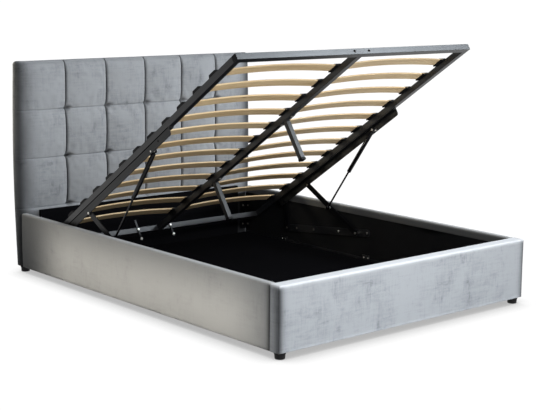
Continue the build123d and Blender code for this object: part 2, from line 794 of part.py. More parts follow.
def end_fittings():
    """Round-headed bolts on the foot-end tube and the short bars at the head-end tube."""
    z_middle = -tube_size / 2
    bolt_span = (-bolt_head_height, 0)
    foot_bolts = both(long_rod(bolt_head_diameter / 2, end_bolt_spacing / 2, z_middle, bolt_span))
    y_face = deck_length - tube_size
    y_bar = (y_face - end_bracket_thickness, y_face)
    y_bolt = (y_bar[0] - end_bracket_head_height, y_bar[0])
    bars, bolts = [], []
    for x, top in zip(end_bracket_places, end_bracket_tops):
        bars.append(block((x - end_bracket_width / 2, x + end_bracket_width / 2), y_bar, (-end_bracket_length, top)))
        for drop in end_bracket_bolts:
            bolts.append(long_rod(end_bracket_head_diameter / 2, x, -drop, y_bolt))
    return {
        "foot_end_bolts": foot_bolts,
        "head_end_bars": bars,
        "head_end_bar_bolts": bolts,
    }


# All pieces by name
def placed_open(nodes):
    """The pieces of the slat frame, moved from its own frame to its open place."""
    placed = {}
    for name, shape in nodes.items():
        solids = shape if isinstance(shape, list) else [shape]
        placed[name] = [deck_place * solid for solid in solids]
    return placed


parts = {}
parts.update(headboard())
parts.update(rails())
parts.update(foot_panel())
parts["storage_lining"] = storage_lining()
parts["head_inner_panel"] = head_panel()
parts.update(storage_floor())
parts.update(corners())
parts["bed_feet"] = bed_feet()
parts.update(base_bars())
parts.update(front_arms())
parts.update(rear_arms())
parts.update(gas_struts())
parts.update(placed_open(deck_tubes()))
parts.update(placed_open(slats_and_holders()))
parts.update(placed_open(centre_legs()))
parts.update(placed_open(lift_bars()))
parts.update(placed_open(end_fittings()))

os.makedirs("parts", exist_ok=True)
for name, shape in parts.items():
    solids = [solid for item in (shape if isinstance(shape, list) else [shape]) for solid in item.solids()]
    export_step(solids[0] if len(solids) == 1 else Compound(solids), f"parts/{name}.step")

print("nodes", len(parts))
print("front base pivot", front_base, "rear base pivot", rear_base)
print("open front pivot", open_front_pivot, "open rear pivot", open_rear_pivot)
print("open strut pivot", open_strut_pivot, "open strut foot", open_strut_foot)
print("closed arm angle", closed_arm_angle, "closed strut angle", closed_strut_angle)
print("open strut angle", open_strut_angle, "strut lengths", open_strut_length, closed_strut_length)
print("open rear arm angle", between(rear_base, open_rear_pivot)[1])
print("closed rear arm angle", between(rear_base, closed_rear_pivot)[1])
print("foot end of the open slat frame", opened(0, 0), "head end", opened(deck_length, 0))
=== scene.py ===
"""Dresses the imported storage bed: padded velvet box, birch slats, steel lift frame and a plain studio."""
import logging
import math
from dataclasses import dataclass, field
from enum import Enum
from typing import Callable, ClassVar, Iterable, Sequence

import bmesh
import bpy
import numpy as np
from mathutils import Matrix, Vector


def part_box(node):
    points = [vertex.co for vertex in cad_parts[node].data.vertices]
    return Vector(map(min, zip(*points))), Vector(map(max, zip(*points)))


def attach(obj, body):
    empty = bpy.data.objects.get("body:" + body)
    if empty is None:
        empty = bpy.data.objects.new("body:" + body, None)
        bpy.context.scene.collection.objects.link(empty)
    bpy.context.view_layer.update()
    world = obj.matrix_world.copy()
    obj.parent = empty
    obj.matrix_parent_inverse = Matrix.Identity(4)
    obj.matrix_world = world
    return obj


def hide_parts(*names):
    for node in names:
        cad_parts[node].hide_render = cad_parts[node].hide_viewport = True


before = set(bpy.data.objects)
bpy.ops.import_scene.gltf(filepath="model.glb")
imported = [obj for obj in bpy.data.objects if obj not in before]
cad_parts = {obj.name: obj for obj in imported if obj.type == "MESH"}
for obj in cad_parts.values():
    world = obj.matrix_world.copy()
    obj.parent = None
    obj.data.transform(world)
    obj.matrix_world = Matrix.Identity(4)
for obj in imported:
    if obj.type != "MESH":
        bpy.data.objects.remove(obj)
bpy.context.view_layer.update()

LOG = logging.getLogger("bed")
MM = 0.001

# Places that the solids fix, in metres and in degrees
OPEN_TILT = 33.76
OPEN_FOOT_END = (-0.7095639, 1.2433559)
RAIL_TOP = 0.319
LINING_TOP = RAIL_TOP - 0.040
STRUT_ANGLE = -53.8827
STRUT_TOP = (-0.0952631, 0.7641768)
STRUT_LENGTH = 0.5804154
STRUT_X = 0.708

# Values that several pieces share
# Name of the point attribute that holds painted shade above 0 and painted highlight below 0
PAINTED_SHADING = "hollow"
CORNER_FALL = 1.6
LINING_FADE = 0.8 * MM
SKIN_GAP = 0.3 * MM
MERGE = 0.01 * MM

Piece = bpy.types.Object
Node = bpy.types.Node
Socket = bpy.types.NodeSocket
Point = tuple[float, float, float]
Colour = tuple[float, float, float]
Offset = Callable[[np.ndarray, np.ndarray], np.ndarray]


class Side(Enum):
    """The two sides of the bed, with the sign of X on each."""

    LEFT = -1
    RIGHT = 1

    @property
    def label(self) -> str:
        """Name of the side as the nodes have it."""
        return self.name.lower()


class Axis(Enum):
    """Row axes by their number."""

    X = 0
    Y = 1
    Z = 2


# -------- meshes


def linked(name: str, mesh: bpy.types.Mesh) -> Piece:
    """Puts a mesh into the scene.

    Args:
        name: Name of the new piece.
        mesh: Its mesh, in the row frame.

    Returns:
        The new object.
    """
    piece = bpy.data.objects.new(name, mesh)
    bpy.context.scene.collection.objects.link(piece)
    return piece


def quad_piece(name: str, points: np.ndarray, faces: Sequence[Sequence[int]]) -> Piece:
    """Makes a smooth piece from points and faces.

    Args:
        name: Name of the new piece.
        points: Corners, one row each.
        faces: Corner numbers of each face.

    Returns:
        The new object.
    """
    mesh = bpy.data.meshes.new(name)
    mesh.from_pydata([tuple(point) for point in points], [], [tuple(face) for face in faces])
    mesh.polygons.foreach_set("use_smooth", [True] * len(mesh.polygons))
    mesh.update()
    return linked(name, mesh)


def marked(piece: Piece, name: str, values: np.ndarray) -> None:
    """Stores one number from -1 to 1 for each point of a piece, which a finish can read by its name."""
    layer = piece.data.attributes.new(name, "FLOAT", "POINT")
    layer.data.foreach_set("value", np.clip(values, -1.0, 1.0).astype(np.float32))


def vertices(piece: Piece) -> np.ndarray:
    """Places of a piece's points, one row each."""
    return np.array([tuple(vertex.co) for vertex in piece.data.vertices])


def below_lining_top(points: np.ndarray) -> np.ndarray:
    """1 at places below the upper edge of the lining, falling softly to 0 above it."""
    return 1 / (1 + np.exp((points[:, 2] - LINING_TOP) / LINING_FADE))


def corner_shade(
    points: np.ndarray, low: Sequence[float], high: Sequence[float], reach: tuple[float, float]
) -> np.ndarray:
    """Painted shade beside the two front corners of a padded piece.

    Args:
        points: Places on the piece.
        low: Lowest corner of the piece.
        high: Highest corner of the piece.
        reach: How far the painted shade reaches along the front and along the ends.

    Returns:
        1 on the corner, falling to 0 away from it.
    """
    aside = np.minimum(points[:, 0] - low[0], high[0] - points[:, 0])
    away = np.clip(aside, 0, None) / reach[0] + np.clip(points[:, 1] - low[1], 0, None) / reach[1]
    return np.exp(-(away**CORNER_FALL))


def weighted(piece: Piece) -> None:
    """Keeps flat faces flat beside their rounded edges."""
    modifier = piece.modifiers.new("flat_faces", "WEIGHTED_NORMAL")
    modifier.keep_sharp = True


def dress(piece: Piece, body: str, finish: "Finish", nodes: Sequence[str]) -> None:
    """Gives a finished piece its material, its body and the nodes that it stands for.

    Args:
        piece: The piece, in its place at rest.
        body: The body that it moves with.
        finish: Its finish.
        nodes: Nodes that it replaces.
    """
    piece.data.materials.clear()
    piece.data.materials.append(finish.material())
    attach(piece, body)
    if nodes:
        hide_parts(*nodes)
    LOG.info("%s rides on %s", piece.name, body)


def softened(node: str, name: str, width: float, segments: int = 2) -> Piece:
    """Copies a hard node with its sharp edges broken by a small round.

    Args:
        node: Node to copy.
        name: Name of the new piece.
        width: Size of the round, in metres.
        segments: Faces across the round.

    Returns:
        The new object.
    """
    piece = linked(name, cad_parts[node].data.copy())
    shape = bmesh.new()
    shape.from_mesh(piece.data)
    bmesh.ops.remove_doubles(shape, verts=shape.verts, dist=MERGE)
    flat = math.radians(1.0)
    bmesh.ops.dissolve_limit(shape, angle_limit=flat, verts=shape.verts, edges=shape.edges)
    sharp = [e for e in shape.edges if e.is_manifold and e.calc_face_angle(0.0) > math.radians(35.0)]
    bmesh.ops.bevel(
        shape,
        geom=sharp,
        offset=width,
        segments=segments,
        profile=0.5,
        affect="EDGES",
        clamp_overlap=True,
    )
    for face in shape.faces:
        face.smooth = True
    for edge in shape.edges:
        edge.smooth = not (edge.is_manifold and edge.calc_face_angle(0.0) > math.radians(50.0))
    shape.to_mesh(piece.data)
    shape.free()
    weighted(piece)
    return piece


def spaced(
    low: float, high: float, ends: tuple[float, float], pitch: float, marks: Iterable[float]
) -> np.ndarray:
    """Places of the grid lines along one side of a shell.

    Args:
        low: Lowest place.
        high: Highest place.
        ends: Rounding at the low and at the high end.
        pitch: Largest gap between lines.
        marks: Places that need close lines, such as seams.

    Returns:
        The places in rising order.
    """
    steps = np.array([0.0, 0.12, 0.28, 0.48, 0.72, 1.0])
    places = {low, high}
    places.update(low + steps * ends[0])
    places.update(high - steps * ends[1])
    near = np.array([0.0, 1.0, 2.2, 3.8, 6.0, 9.0, 13.0, 19.0, 27.0]) * MM
    for mark in marks:
        places.update(mark + near)
        places.update(mark - near)
    inner = (low + ends[0], high - ends[1])
    kept = sorted(p for p in places if low <= p <= high)
    lines = [kept[0]]
    for place in kept[1:]:
        if place - lines[-1] < 0.35 * MM and place < high:
            continue
        start, gap = lines[-1], place - lines[-1]
        count = max(1, math.ceil(gap / pitch)) if inner[0] - MM < start < inner[1] + MM else 1
        lines += [start + gap * (n + 1) / count for n in range(count)]
    return np.array(lines)


@dataclass
class Shell:
    """Closed rounded box of four-sided faces, whose skin can be pushed in and out.

    Attributes:
        low: Lowest corner.
        high: Highest corner.
        low_round: Rounding at the low end of each axis.
        high_round: Rounding at the high end of each axis.
        pitch: Largest grid gap along each axis.
        marks: Places of close grid lines along each axis.
    """

    low: Point
    high: Point
    low_round: Point
    high_round: Point
    pitch: Point
    marks: tuple[Sequence[float], Sequence[float], Sequence[float]] = ((), (), ())

    def skin(self) -> tuple[np.ndarray, np.ndarray, list[tuple[int, ...]]]:
        """Makes the rounded skin.

        Returns:
            Points, outward directions, and faces as corner numbers.
        """
        ends = list(zip(self.low_round, self.high_round))
        lines = [spaced(self.low[a], self.high[a], ends[a], self.pitch[a], self.marks[a]) for a in range(3)]
        counts = [len(line) for line in lines]
        numbers: dict[tuple[int, int, int], int] = {}
        faces: list[tuple[int, ...]] = []

        def corner(key: tuple[int, int, int]) -> int:
            """Number of the corner at three grid places."""
            return numbers.setdefault(key, len(numbers))

        for axis in range(3):
            one, two = (axis + 1) % 3, (axis + 2) % 3
            for end in (0, counts[axis] - 1):
                for i in range(counts[one] - 1):
                    for j in range(counts[two] - 1):
                        ring = [(i, j), (i + 1, j), (i + 1, j + 1), (i, j + 1)]
                        if end == 0:
                            ring.reverse()
                        face = []
                        for a, b in ring:
                            key = [0, 0, 0]
                            key[axis], key[one], key[two] = end, a, b
                            face.append(corner((key[0], key[1], key[2])))
                        faces.append(tuple(face))
        grid = np.array(list(numbers))
        flat = np.stack([lines[a][grid[:, a]] for a in range(3)], axis=1)
        low, high = np.array(self.low), np.array(self.high)
        low_round, high_round = np.array(self.low_round), np.array(self.high_round)
        core = np.clip(flat, low + low_round, high - high_round)
        reach = np.where(flat < core, low_round, high_round)
        lean = (flat - core) / reach
        lean /= np.linalg.norm(lean, axis=1, keepdims=True)
        points = core + lean * reach
        outward = lean / reach
        outward /= np.linalg.norm(outward, axis=1, keepdims=True)
        return points, outward, faces

    def piece(self, name: str, offset: Offset | None = None) -> Piece:
        """Makes the piece from its skin.

        Args:
            name: Name of the new piece.
            offset: Gives how far each point moves outwards, from points and directions.

        Returns:
            The new object.
        """
        points, outward, faces = self.skin()
        if offset is not None:
            points = points + outward * offset(points, outward)[:, None]
        return quad_piece(name, points, faces)


def ripple(points: np.ndarray, size: float, seed: int, waves: int = 9) -> np.ndarray:
    """Soft uneven hills and hollows between -1 and 1.

    Args:
        points: Places, one row each.
        size: Usual distance between hills, in metres.
        seed: Number that fixes the pattern.
        waves: How many waves are added up.

    Returns:
        One value for each place.
    """
    random = np.random.default_rng(seed)
    total = np.zeros(len(points))
    for _ in range(waves):
        way = random.normal(size=3)
        way *= 2 * math.pi / (size * np.linalg.norm(way) * random.uniform(0.7, 1.6))
        total += np.sin(points @ way + random.uniform(0, 2 * math.pi))
    return total / waves * 1.8


def turned_form(
    name: str, profile: Sequence[tuple[float, float]], start: Vector, way: Vector, sides: int
) -> Piece:
    """Makes a round piece from a profile turned about a line.

    Args:
        name: Name of the new piece.
        profile: (distance along the line, radius) pairs, from end to end.
        start: Start of the line.
        way: Direction of the line.
        sides: Faces round the piece.

    Returns:
        The new object.
    """
    turn = way.normalized().to_track_quat("Z", "Y").to_matrix()
    points, faces = [], []
    for distance, radius in profile:
        for side in range(sides):
            angle = 2 * math.pi * side / sides
            local = Vector((radius * math.cos(angle), radius * math.sin(angle), distance))
            points.append(start + turn @ local)
    for ring in range(len(profile) - 1):
        for side in range(sides):
            after = (side + 1) % sides
            a, b = ring * sides, (ring + 1) * sides
            faces.append((a + side, a + after, b + after, b + side))
    faces.append(tuple(reversed(range(sides))))
    last = (len(profile) - 1) * sides
    faces.append(tuple(range(last, last + sides)))
    piece = quad_piece(name, np.array([tuple(p) for p in points]), faces)
    for edge in sharp_edges(piece, 45.0):
        edge.use_edge_sharp = True
    return piece


def sharp_edges(piece: Piece, degrees: float) -> list[bpy.types.MeshEdge]:
    """Edges of a piece where its faces meet at more than an angle.

    Args:
        piece: The piece.
        degrees: The angle.

    Returns:
        The edges.
    """
    shape = bmesh.new()
    shape.from_mesh(piece.data)
    limit = math.radians(degrees)
    numbers = [e.index for e in shape.edges if e.is_manifold and e.calc_face_angle(0.0) > limit]
    shape.free()
    return [piece.data.edges[number] for number in numbers]


def joined(name: str, pieces: Sequence[Piece]) -> Piece:
    """Joins several pieces into one with a new name.

    Args:
        name: Name of the new piece.
        pieces: The pieces, which are used up.

    Returns:
        The new object.
    """
    shape = bmesh.new()
    for piece in pieces:
        shape.from_mesh(piece.data)
    mesh = bpy.data.meshes.new(name)
    shape.to_mesh(mesh)
    shape.free()
    for piece in pieces:
        bpy.data.objects.remove(piece)
    return linked(name, mesh)


def islands(node: str, frame_back: Matrix) -> list[tuple[np.ndarray, np.ndarray]]:
    """Boxes of the separate solids of a node, measured in another frame.

    Args:
        node: Node to read.
        frame_back: Turns row places into places of the other frame.

    Returns:
        (lowest corner, highest corner) of each solid.
    """
    shape = bmesh.new()
    shape.from_mesh(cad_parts[node].data)
    bmesh.ops.remove_doubles(shape, verts=shape.verts, dist=MERGE)
    shape.verts.ensure_lookup_table()
    seen: set[int] = set()
    boxes = []
    for first in shape.verts:
        if first.index in seen:
            continue
        seen.add(first.index)
        stack, places = [first], []
        while stack:
            vert = stack.pop()
            places.append(tuple(frame_back @ vert.co))
            for edge in vert.link_edges:
                other = edge.other_vert(vert)
                if other.index not in seen:
                    seen.add(other.index)
                    stack.append(other)
        found = np.array(places)
        boxes.append((found.min(axis=0), found.max(axis=0)))
    shape.free()
    return boxes


@dataclass(frozen=True)
class DeckFrame:
    """Frame of the open slat frame: X across, Y from its foot end, Z up from its top face."""

    tilt: float = OPEN_TILT
    foot_end: tuple[float, float] = OPEN_FOOT_END

    def matrix(self) -> Matrix:
        """Turns places of the slat frame into row places."""
        return Matrix.Translation((0.0, *self.foot_end)) @ Matrix.Rotation(-math.radians(self.tilt), 4, "X")


DECK = DeckFrame().matrix()
UPRIGHT = Matrix.Identity(4)


# -------- shader groups


class Graph:
    """Short way to add shader nodes to a tree and join them."""

    def __init__(self, tree: bpy.types.NodeTree) -> None:
        """Starts on a tree."""
        self.tree = tree

    def add(self, kind: str, settings: dict[str, object] | None = None, **inputs: object) -> Node:
        """Adds a node.

        Args:
            kind: Its type name without the ShaderNode prefix.
            settings: Its properties.
            **inputs: Values or output sockets by input name, with _ for a space.

        Returns:
            The node.
        """
        name = kind if kind.startswith("NodeGroup") else "ShaderNode" + kind
        node = self.tree.nodes.new(name)
        for key, value in (settings or {}).items():
            setattr(node, key, value)
        for key, value in inputs.items():
            self.put(node, key.replace("_", " "), value)
        return node

    def put(self, node: Node, key: str, value: object) -> None:
        """Sets an input of a node, or joins an output to it.

        Args:
            node: The node.
            key: Name of the input, or its number after a #.
            value: Plain value or output socket.
        """
        socket = node.inputs[int(key[1:])] if key.startswith("#") else node.inputs[key]
        if isinstance(value, Socket):
            self.tree.links.new(value, socket)
        else:
            socket.default_value = value

    def math(self, operation: str, one: object, two: object = 0.0, clamp: bool = False) -> Socket:
        """Works out one value from two.

        Args:
            operation: Operation of the Math node.
            one: First value or output socket.
            two: Second value or output socket.
            clamp: Whether the result is kept from 0 to 1.

        Returns:
            The result.
        """
        node = self.add("Math", {"operation": operation, "use_clamp": clamp})
        self.put(node, "#0", one)
        self.put(node, "#1", two)
        return node.outputs[0]

    def times(self, one: object, two: object, clamp: bool = False) -> Socket:
        """Product of two values."""
        return self.math("MULTIPLY", one, two, clamp)

    def plus(self, one: object, two: object, clamp: bool = False) -> Socket:
        """Sum of two values."""
        return self.math("ADD", one, two, clamp)

    def blend(self, share: object, one: object, two: object) -> Socket:
        """Mixes two colours.

        Args:
            share: Share of the second colour.
            one: First colour.
            two: Second colour.

        Returns:
            The mixed colour.
        """
        node = self.add("Mix", {"data_type": "RGBA", "blend_type": "MIX", "clamp_factor": True})
        self.put(node, "#0", share)
        self.put(node, "#6", one)
        self.put(node, "#7", two)
        return node.outputs[2]

    def either(self, share: object, one: Node, two: Node) -> Node:
        """Mixes two shaders.

        Args:
            share: Share of the second shader.
            one: First shader.
            two: Second shader.

        Returns:
            The node that mixes them.
        """
        node = self.add("MixShader")
        for key, value in (("#0", share), ("#1", one.outputs[0]), ("#2", two.outputs[0])):
            self.put(node, key, value)
        return node

    def ramp(self, value: object, low: float, high: float, out: tuple[float, float] = (0.0, 1.0)) -> Socket:
        """Takes a value smoothly from one range to another.

        Args:
            value: The value.
            low: Start of its range.
            high: End of its range.
            out: Start and end of the new range.

        Returns:
            The new value.
        """
        node = self.add("MapRange", {"interpolation_type": "SMOOTHSTEP", "clamp": True})
        self.put(node, "Value", value)
        for key, number in zip(("From Min", "From Max", "To Min", "To Max"), (low, high, *out)):
            node.inputs[key].default_value = number
        return node.outputs[0]

    def places(self, scale: Point = (1.0, 1.0, 1.0), tilt: float = 0.0) -> Socket:
        """Gives the places on the object, turned about X and then stretched.

        Args:
            scale: Stretch along each axis.
            tilt: Turn about X, in radians.

        Returns:
            The places.
        """
        source = self.add("TexCoord").outputs["Object"]
        turn = self.add("Mapping", {"vector_type": "POINT"}, Vector=source, Rotation=(tilt, 0.0, 0.0))
        stretch = self.add("Mapping", {"vector_type": "POINT"}, Vector=turn.outputs[0], Scale=scale)
        return stretch.outputs[0]

    def noise(
        self, vector: object, scale: object, detail: float = 3.0, roughness: float = 0.55, warp: float = 0.0
    ) -> Socket:
        """Gives uneven values around 0.5.

        Args:
            vector: Places on the object.
            scale: How many waves a metre holds.
            detail: How many finer layers are added.
            roughness: Strength of each finer layer against the one before.
            warp: How far the pattern is bent out of shape.

        Returns:
            The value at each place.
        """
        node = self.add("TexNoise", None, Vector=vector, Scale=scale, Detail=detail, Roughness=roughness)
        node.inputs["Distortion"].default_value = warp
        return node.outputs["Fac"]


def new_group(
    name: str, inputs: Sequence[tuple[str, str, object]], outputs: Sequence[tuple[str, str]]
) -> tuple[Graph, Node, Node]:
    """Starts a shader node group.

    Args:
        name: Name of the group.
        inputs: (name, socket type, default) of each input.
        outputs: (name, socket type) of each output.

    Returns:
        Its graph, its input node and its output node.
    """
    tree = bpy.data.node_groups.new(name, "ShaderNodeTree")
    for label, kind, default in inputs:
        socket = tree.interface.new_socket(label, in_out="INPUT", socket_type=kind)
        socket.default_value = default
    for label, kind in outputs:
        tree.interface.new_socket(label, in_out="OUTPUT", socket_type=kind)
    graph = Graph(tree)
    return graph, graph.add("NodeGroupInput"), graph.add("NodeGroupOutput")


COLOUR_SOCKET = "NodeSocketColor"
NUMBER_SOCKET = "NodeSocketFloat"

# Patterns in a pile: waves per metre, and the stretch of upright and of level strokes
CLOUDS = 5.0
STROKES = 13.0
CROSS_STROKES = 12.0
COMB_LINES = 15.0
FLECKS = 420.0
STROKE_STRETCH = ((2.4, 2.4, 0.8), (0.7, 0.7, 2.6))
COMB_STRETCH = ((8.0, 8.0, 0.7), (0.7, 0.7, 8.0))
# Painted shade and painted highlight: how strongly each shows, and its colour
PAINTED_SHADE = (0.95, (0.004, 0.004, 0.005, 1.0))
PAINTED_HIGHLIGHT = (0.8, (0.85, 0.86, 0.88, 1.0))

# Stretch of the boards, bands, fibres and knots of wood, whose grain runs along X
BOARD_STRETCH = (0.6, 7.3, 7.3)
BAND_STRETCH = (1.5, 42.0, 42.0)
FIBRE_STRETCH = (9.0, 420.0, 420.0)
KNOT_STRETCH = (3.1, 15.0, 15.0)
KNOT_RING = (0.02, 0.075)

# Threads of thin cloth, per metre
THREADS = 260.0


class Effects:
    """Shader effects that several finishes share, each built once."""

    built: ClassVar[dict[str, bpy.types.NodeTree]] = {}

    @classmethod
    def use(cls, graph: Graph, name: str, **inputs: object) -> Node:
        """Puts an effect into a material.

        Args:
            graph: The material's graph.
            name: Name of the method that builds the effect.
            **inputs: Its inputs, with _ for a space.

        Returns:
            The group's node.
        """
        if name not in cls.built:
            cls.built[name] = getattr(cls, name)()
        node = graph.add("Group")
        node.node_tree = cls.built[name]
        for key, value in inputs.items():
            graph.put(node, key.replace("_", " "), value)
        return node

    @staticmethod
    def pile_marks() -> bpy.types.NodeTree:
        """Smudges where a pile fabric has been stroked: broad clouds, crossed strokes and small flecks.

        The strokes run both ways and come in patches. Above 0 the painted-shading input paints shade into
        folds, seams, corners and other shaded places, and below 0 it paints a highlight onto edges.

        Returns:
            The node group.
        """
        graph, given, made = new_group(
            "pile_marks",
            [
                ("Colour", COLOUR_SOCKET, (0.3, 0.3, 0.3, 1.0)),
                ("Stroked", COLOUR_SOCKET, (0.2, 0.2, 0.2, 1.0)),
                ("Amount", NUMBER_SOCKET, 0.5),
                ("Size", NUMBER_SOCKET, 1.0),
                ("Hollow", NUMBER_SOCKET, 0.0),
            ],
            [("Colour", COLOUR_SOCKET), ("Mask", NUMBER_SOCKET), ("Height", NUMBER_SOCKET)],
        )
        size, hollow = given.outputs["Size"], given.outputs["Hollow"]
        stroke_size = graph.times(size, STROKES)
        cross_size = graph.times(size, CROSS_STROKES)
        clouds = graph.noise(graph.places(), graph.times(size, CLOUDS), 5.0, 0.62, 0.6)
        patches = graph.ramp(clouds, 0.46, 0.66)
        upright = graph.noise(graph.places(STROKE_STRETCH[0]), stroke_size, 7.0, 0.72, 0.35)
        across = graph.noise(graph.places(STROKE_STRETCH[1]), cross_size, 7.0, 0.72, 0.35)
        streaks = graph.times(graph.ramp(upright, 0.5, 0.72), 0.6)
        bands = graph.times(graph.ramp(across, 0.5, 0.72), 0.55)
        patched = graph.plus(graph.times(patches, 0.8), 0.28)
        smudge = graph.times(graph.plus(streaks, bands), patched)
        fleck = graph.noise(graph.places(), FLECKS, 2.0, 0.6)
        flecks = graph.times(graph.math("SUBTRACT", fleck, 0.5), 0.4)
        comb_size = graph.times(size, COMB_LINES)
        combed, ruled = (graph.noise(graph.places(way), comb_size, 3.0, 0.6) for way in COMB_STRETCH)
        lines = graph.times(graph.math("SUBTRACT", graph.plus(combed, ruled), 1.0), 0.42)
        broad = graph.times(graph.math("SUBTRACT", clouds, 0.45), 0.9)
        soft = graph.plus(graph.times(smudge, 0.75), graph.plus(broad, lines))
        total = graph.times(graph.plus(soft, flecks, True), 1.5)
        share = graph.times(total, given.outputs["Amount"], True)
        colour = graph.blend(share, given.outputs["Colour"], given.outputs["Stroked"])
        # Painted highlight where the input is below 0, then painted shade where it is above 0
        painted_highlight_share = graph.times(hollow, -PAINTED_HIGHLIGHT[0], True)
        colour = graph.blend(painted_highlight_share, colour, PAINTED_HIGHLIGHT[1])
        shade = graph.times(hollow, PAINTED_SHADE[0], True)
        graph.put(made, "Colour", graph.blend(shade, colour, PAINTED_SHADE[1]))
        graph.put(made, "Mask", share)
        graph.put(made, "Height", graph.plus(fleck, graph.times(upright, 0.5)))
        return graph.tree

    @staticmethod
    def rubbed() -> bpy.types.NodeTree:
        """Uneven gloss and faint light rubs on a hard surface.

        Returns:
            The node group.
        """
        graph, given, made = new_group(
            "rubbed",
            [
                ("Colour", COLOUR_SOCKET, (0.03, 0.03, 0.03, 1.0)),
                ("Rub", COLOUR_SOCKET, (0.1, 0.1, 0.1, 1.0)),
                ("Amount", NUMBER_SOCKET, 0.3),
                ("Gloss Low", NUMBER_SOCKET, 0.35),
                ("Gloss High", NUMBER_SOCKET, 0.5),
                ("Peel", NUMBER_SOCKET, 900.0),
            ],
            [("Colour", COLOUR_SOCKET), ("Roughness", NUMBER_SOCKET), ("Height", NUMBER_SOCKET)],
        )
        broad = graph.noise(graph.places(), 9.0, 4.0, 0.6, 0.5)
        scuffs = graph.noise(graph.places((1.0, 0.25, 1.0)), 60.0, 5.0, 0.65, 0.8)
        marks = graph.ramp(graph.times(broad, scuffs), 0.3, 0.5)
        share = graph.times(marks, given.outputs["Amount"], True)
        graph.put(made, "Colour", graph.blend(share, given.outputs["Colour"], given.outputs["Rub"]))
        span = graph.math("SUBTRACT", given.outputs["Gloss High"], given.outputs["Gloss Low"])
        rough = graph.plus(given.outputs["Gloss Low"], graph.times(span, broad))
        graph.put(made, "Roughness", rough)
        graph.put(made, "Height", graph.noise(graph.places(), given.outputs["Peel"], 2.0, 0.5))
        return graph.tree

    @staticmethod
    def grain() -> bpy.types.NodeTree:
        """Wood grain along X: long fibres, broad bands of tone, and a few small knots.

        Returns:
            The node group.
        """
        graph, given, made = new_group(
            "grain",
            [
                ("Pale", COLOUR_SOCKET, (0.7, 0.5, 0.3, 1.0)),
                ("Dark", COLOUR_SOCKET, (0.4, 0.25, 0.1, 1.0)),
                ("Knot", COLOUR_SOCKET, (0.2, 0.1, 0.05, 1.0)),
                ("Fibre", NUMBER_SOCKET, 1.0),
            ],
            [("Colour", COLOUR_SOCKET), ("Height", NUMBER_SOCKET)],
        )
        tilt = math.radians(OPEN_TILT)
        board = graph.noise(graph.places(BOARD_STRETCH, tilt), 1.0, 1.0, 0.5)
        bands = graph.noise(graph.places(BAND_STRETCH, tilt), 1.6, 4.0, 0.6, 0.8)
        fibre = graph.noise(graph.places(FIBRE_STRETCH, tilt), given.outputs["Fibre"], 3.0, 0.6)
        tone = graph.plus(graph.times(bands, 0.55), graph.times(fibre, 0.25))
        share = graph.ramp(graph.plus(tone, graph.times(board, 0.45)), 0.42, 0.86)
        colour = graph.blend(share, given.outputs["Pale"], given.outputs["Dark"])
        cells = graph.add("TexVoronoi", {"feature": "F1"}, Vector=graph.places(KNOT_STRETCH, tilt), Scale=1.0)
        knots = graph.times(graph.ramp(cells.outputs["Distance"], *KNOT_RING, (1.0, 0.0)), 0.75)
        graph.put(made, "Colour", graph.blend(knots, colour, given.outputs["Knot"]))
        graph.put(made, "Height", graph.plus(fibre, graph.times(bands, 0.5)))
        return graph.tree


# -------- finishes


@dataclass(frozen=True)
class Finish:
    """A material by its name and its plain values.

    Attributes:
        name: Name of the material.
        colour: Ground colour.
        second: Colour that shows in its marks.
        roughness: Roughness, where no pattern sets it.
        bump: Strength of the fine relief.
        bump_depth: Depth of the fine relief.
        built: Materials that are already built, by name.
    """

    name: str
    colour: Colour
    second: Colour
    roughness: float = 0.5
    bump: float = 0.1
    bump_depth: float = 0.2 * MM
    built: ClassVar[dict[str, bpy.types.Material]] = {}

    def material(self) -> bpy.types.Material:
        """Gives the finish's material, built at its first use.

        Returns:
            The material.
        """
        if self.name in self.built:
            return self.built[self.name]
        made = bpy.data.materials.new(self.name)
        self.built[self.name] = made
        made.use_nodes = True
        graph = Graph(made.node_tree)
        shader = made.node_tree.nodes["Principled BSDF"]
        shader.inputs["Roughness"].default_value = self.roughness
        height = self.paint(graph, shader)
        bump = graph.add("Bump", None, Strength=self.bump, Distance=self.bump_depth, Height=height)
        graph.put(shader, "Normal", bump.outputs[0])
        return made

    def paint(self, graph: Graph, shader: Node) -> Socket:
        """Sets the colour and gloss, and gives the height for the bump."""
        raise NotImplementedError

    def pair(self) -> tuple[tuple[float, ...], tuple[float, ...]]:
        """The two colours with their alpha."""
        return (*self.colour, 1.0), (*self.second, 1.0)


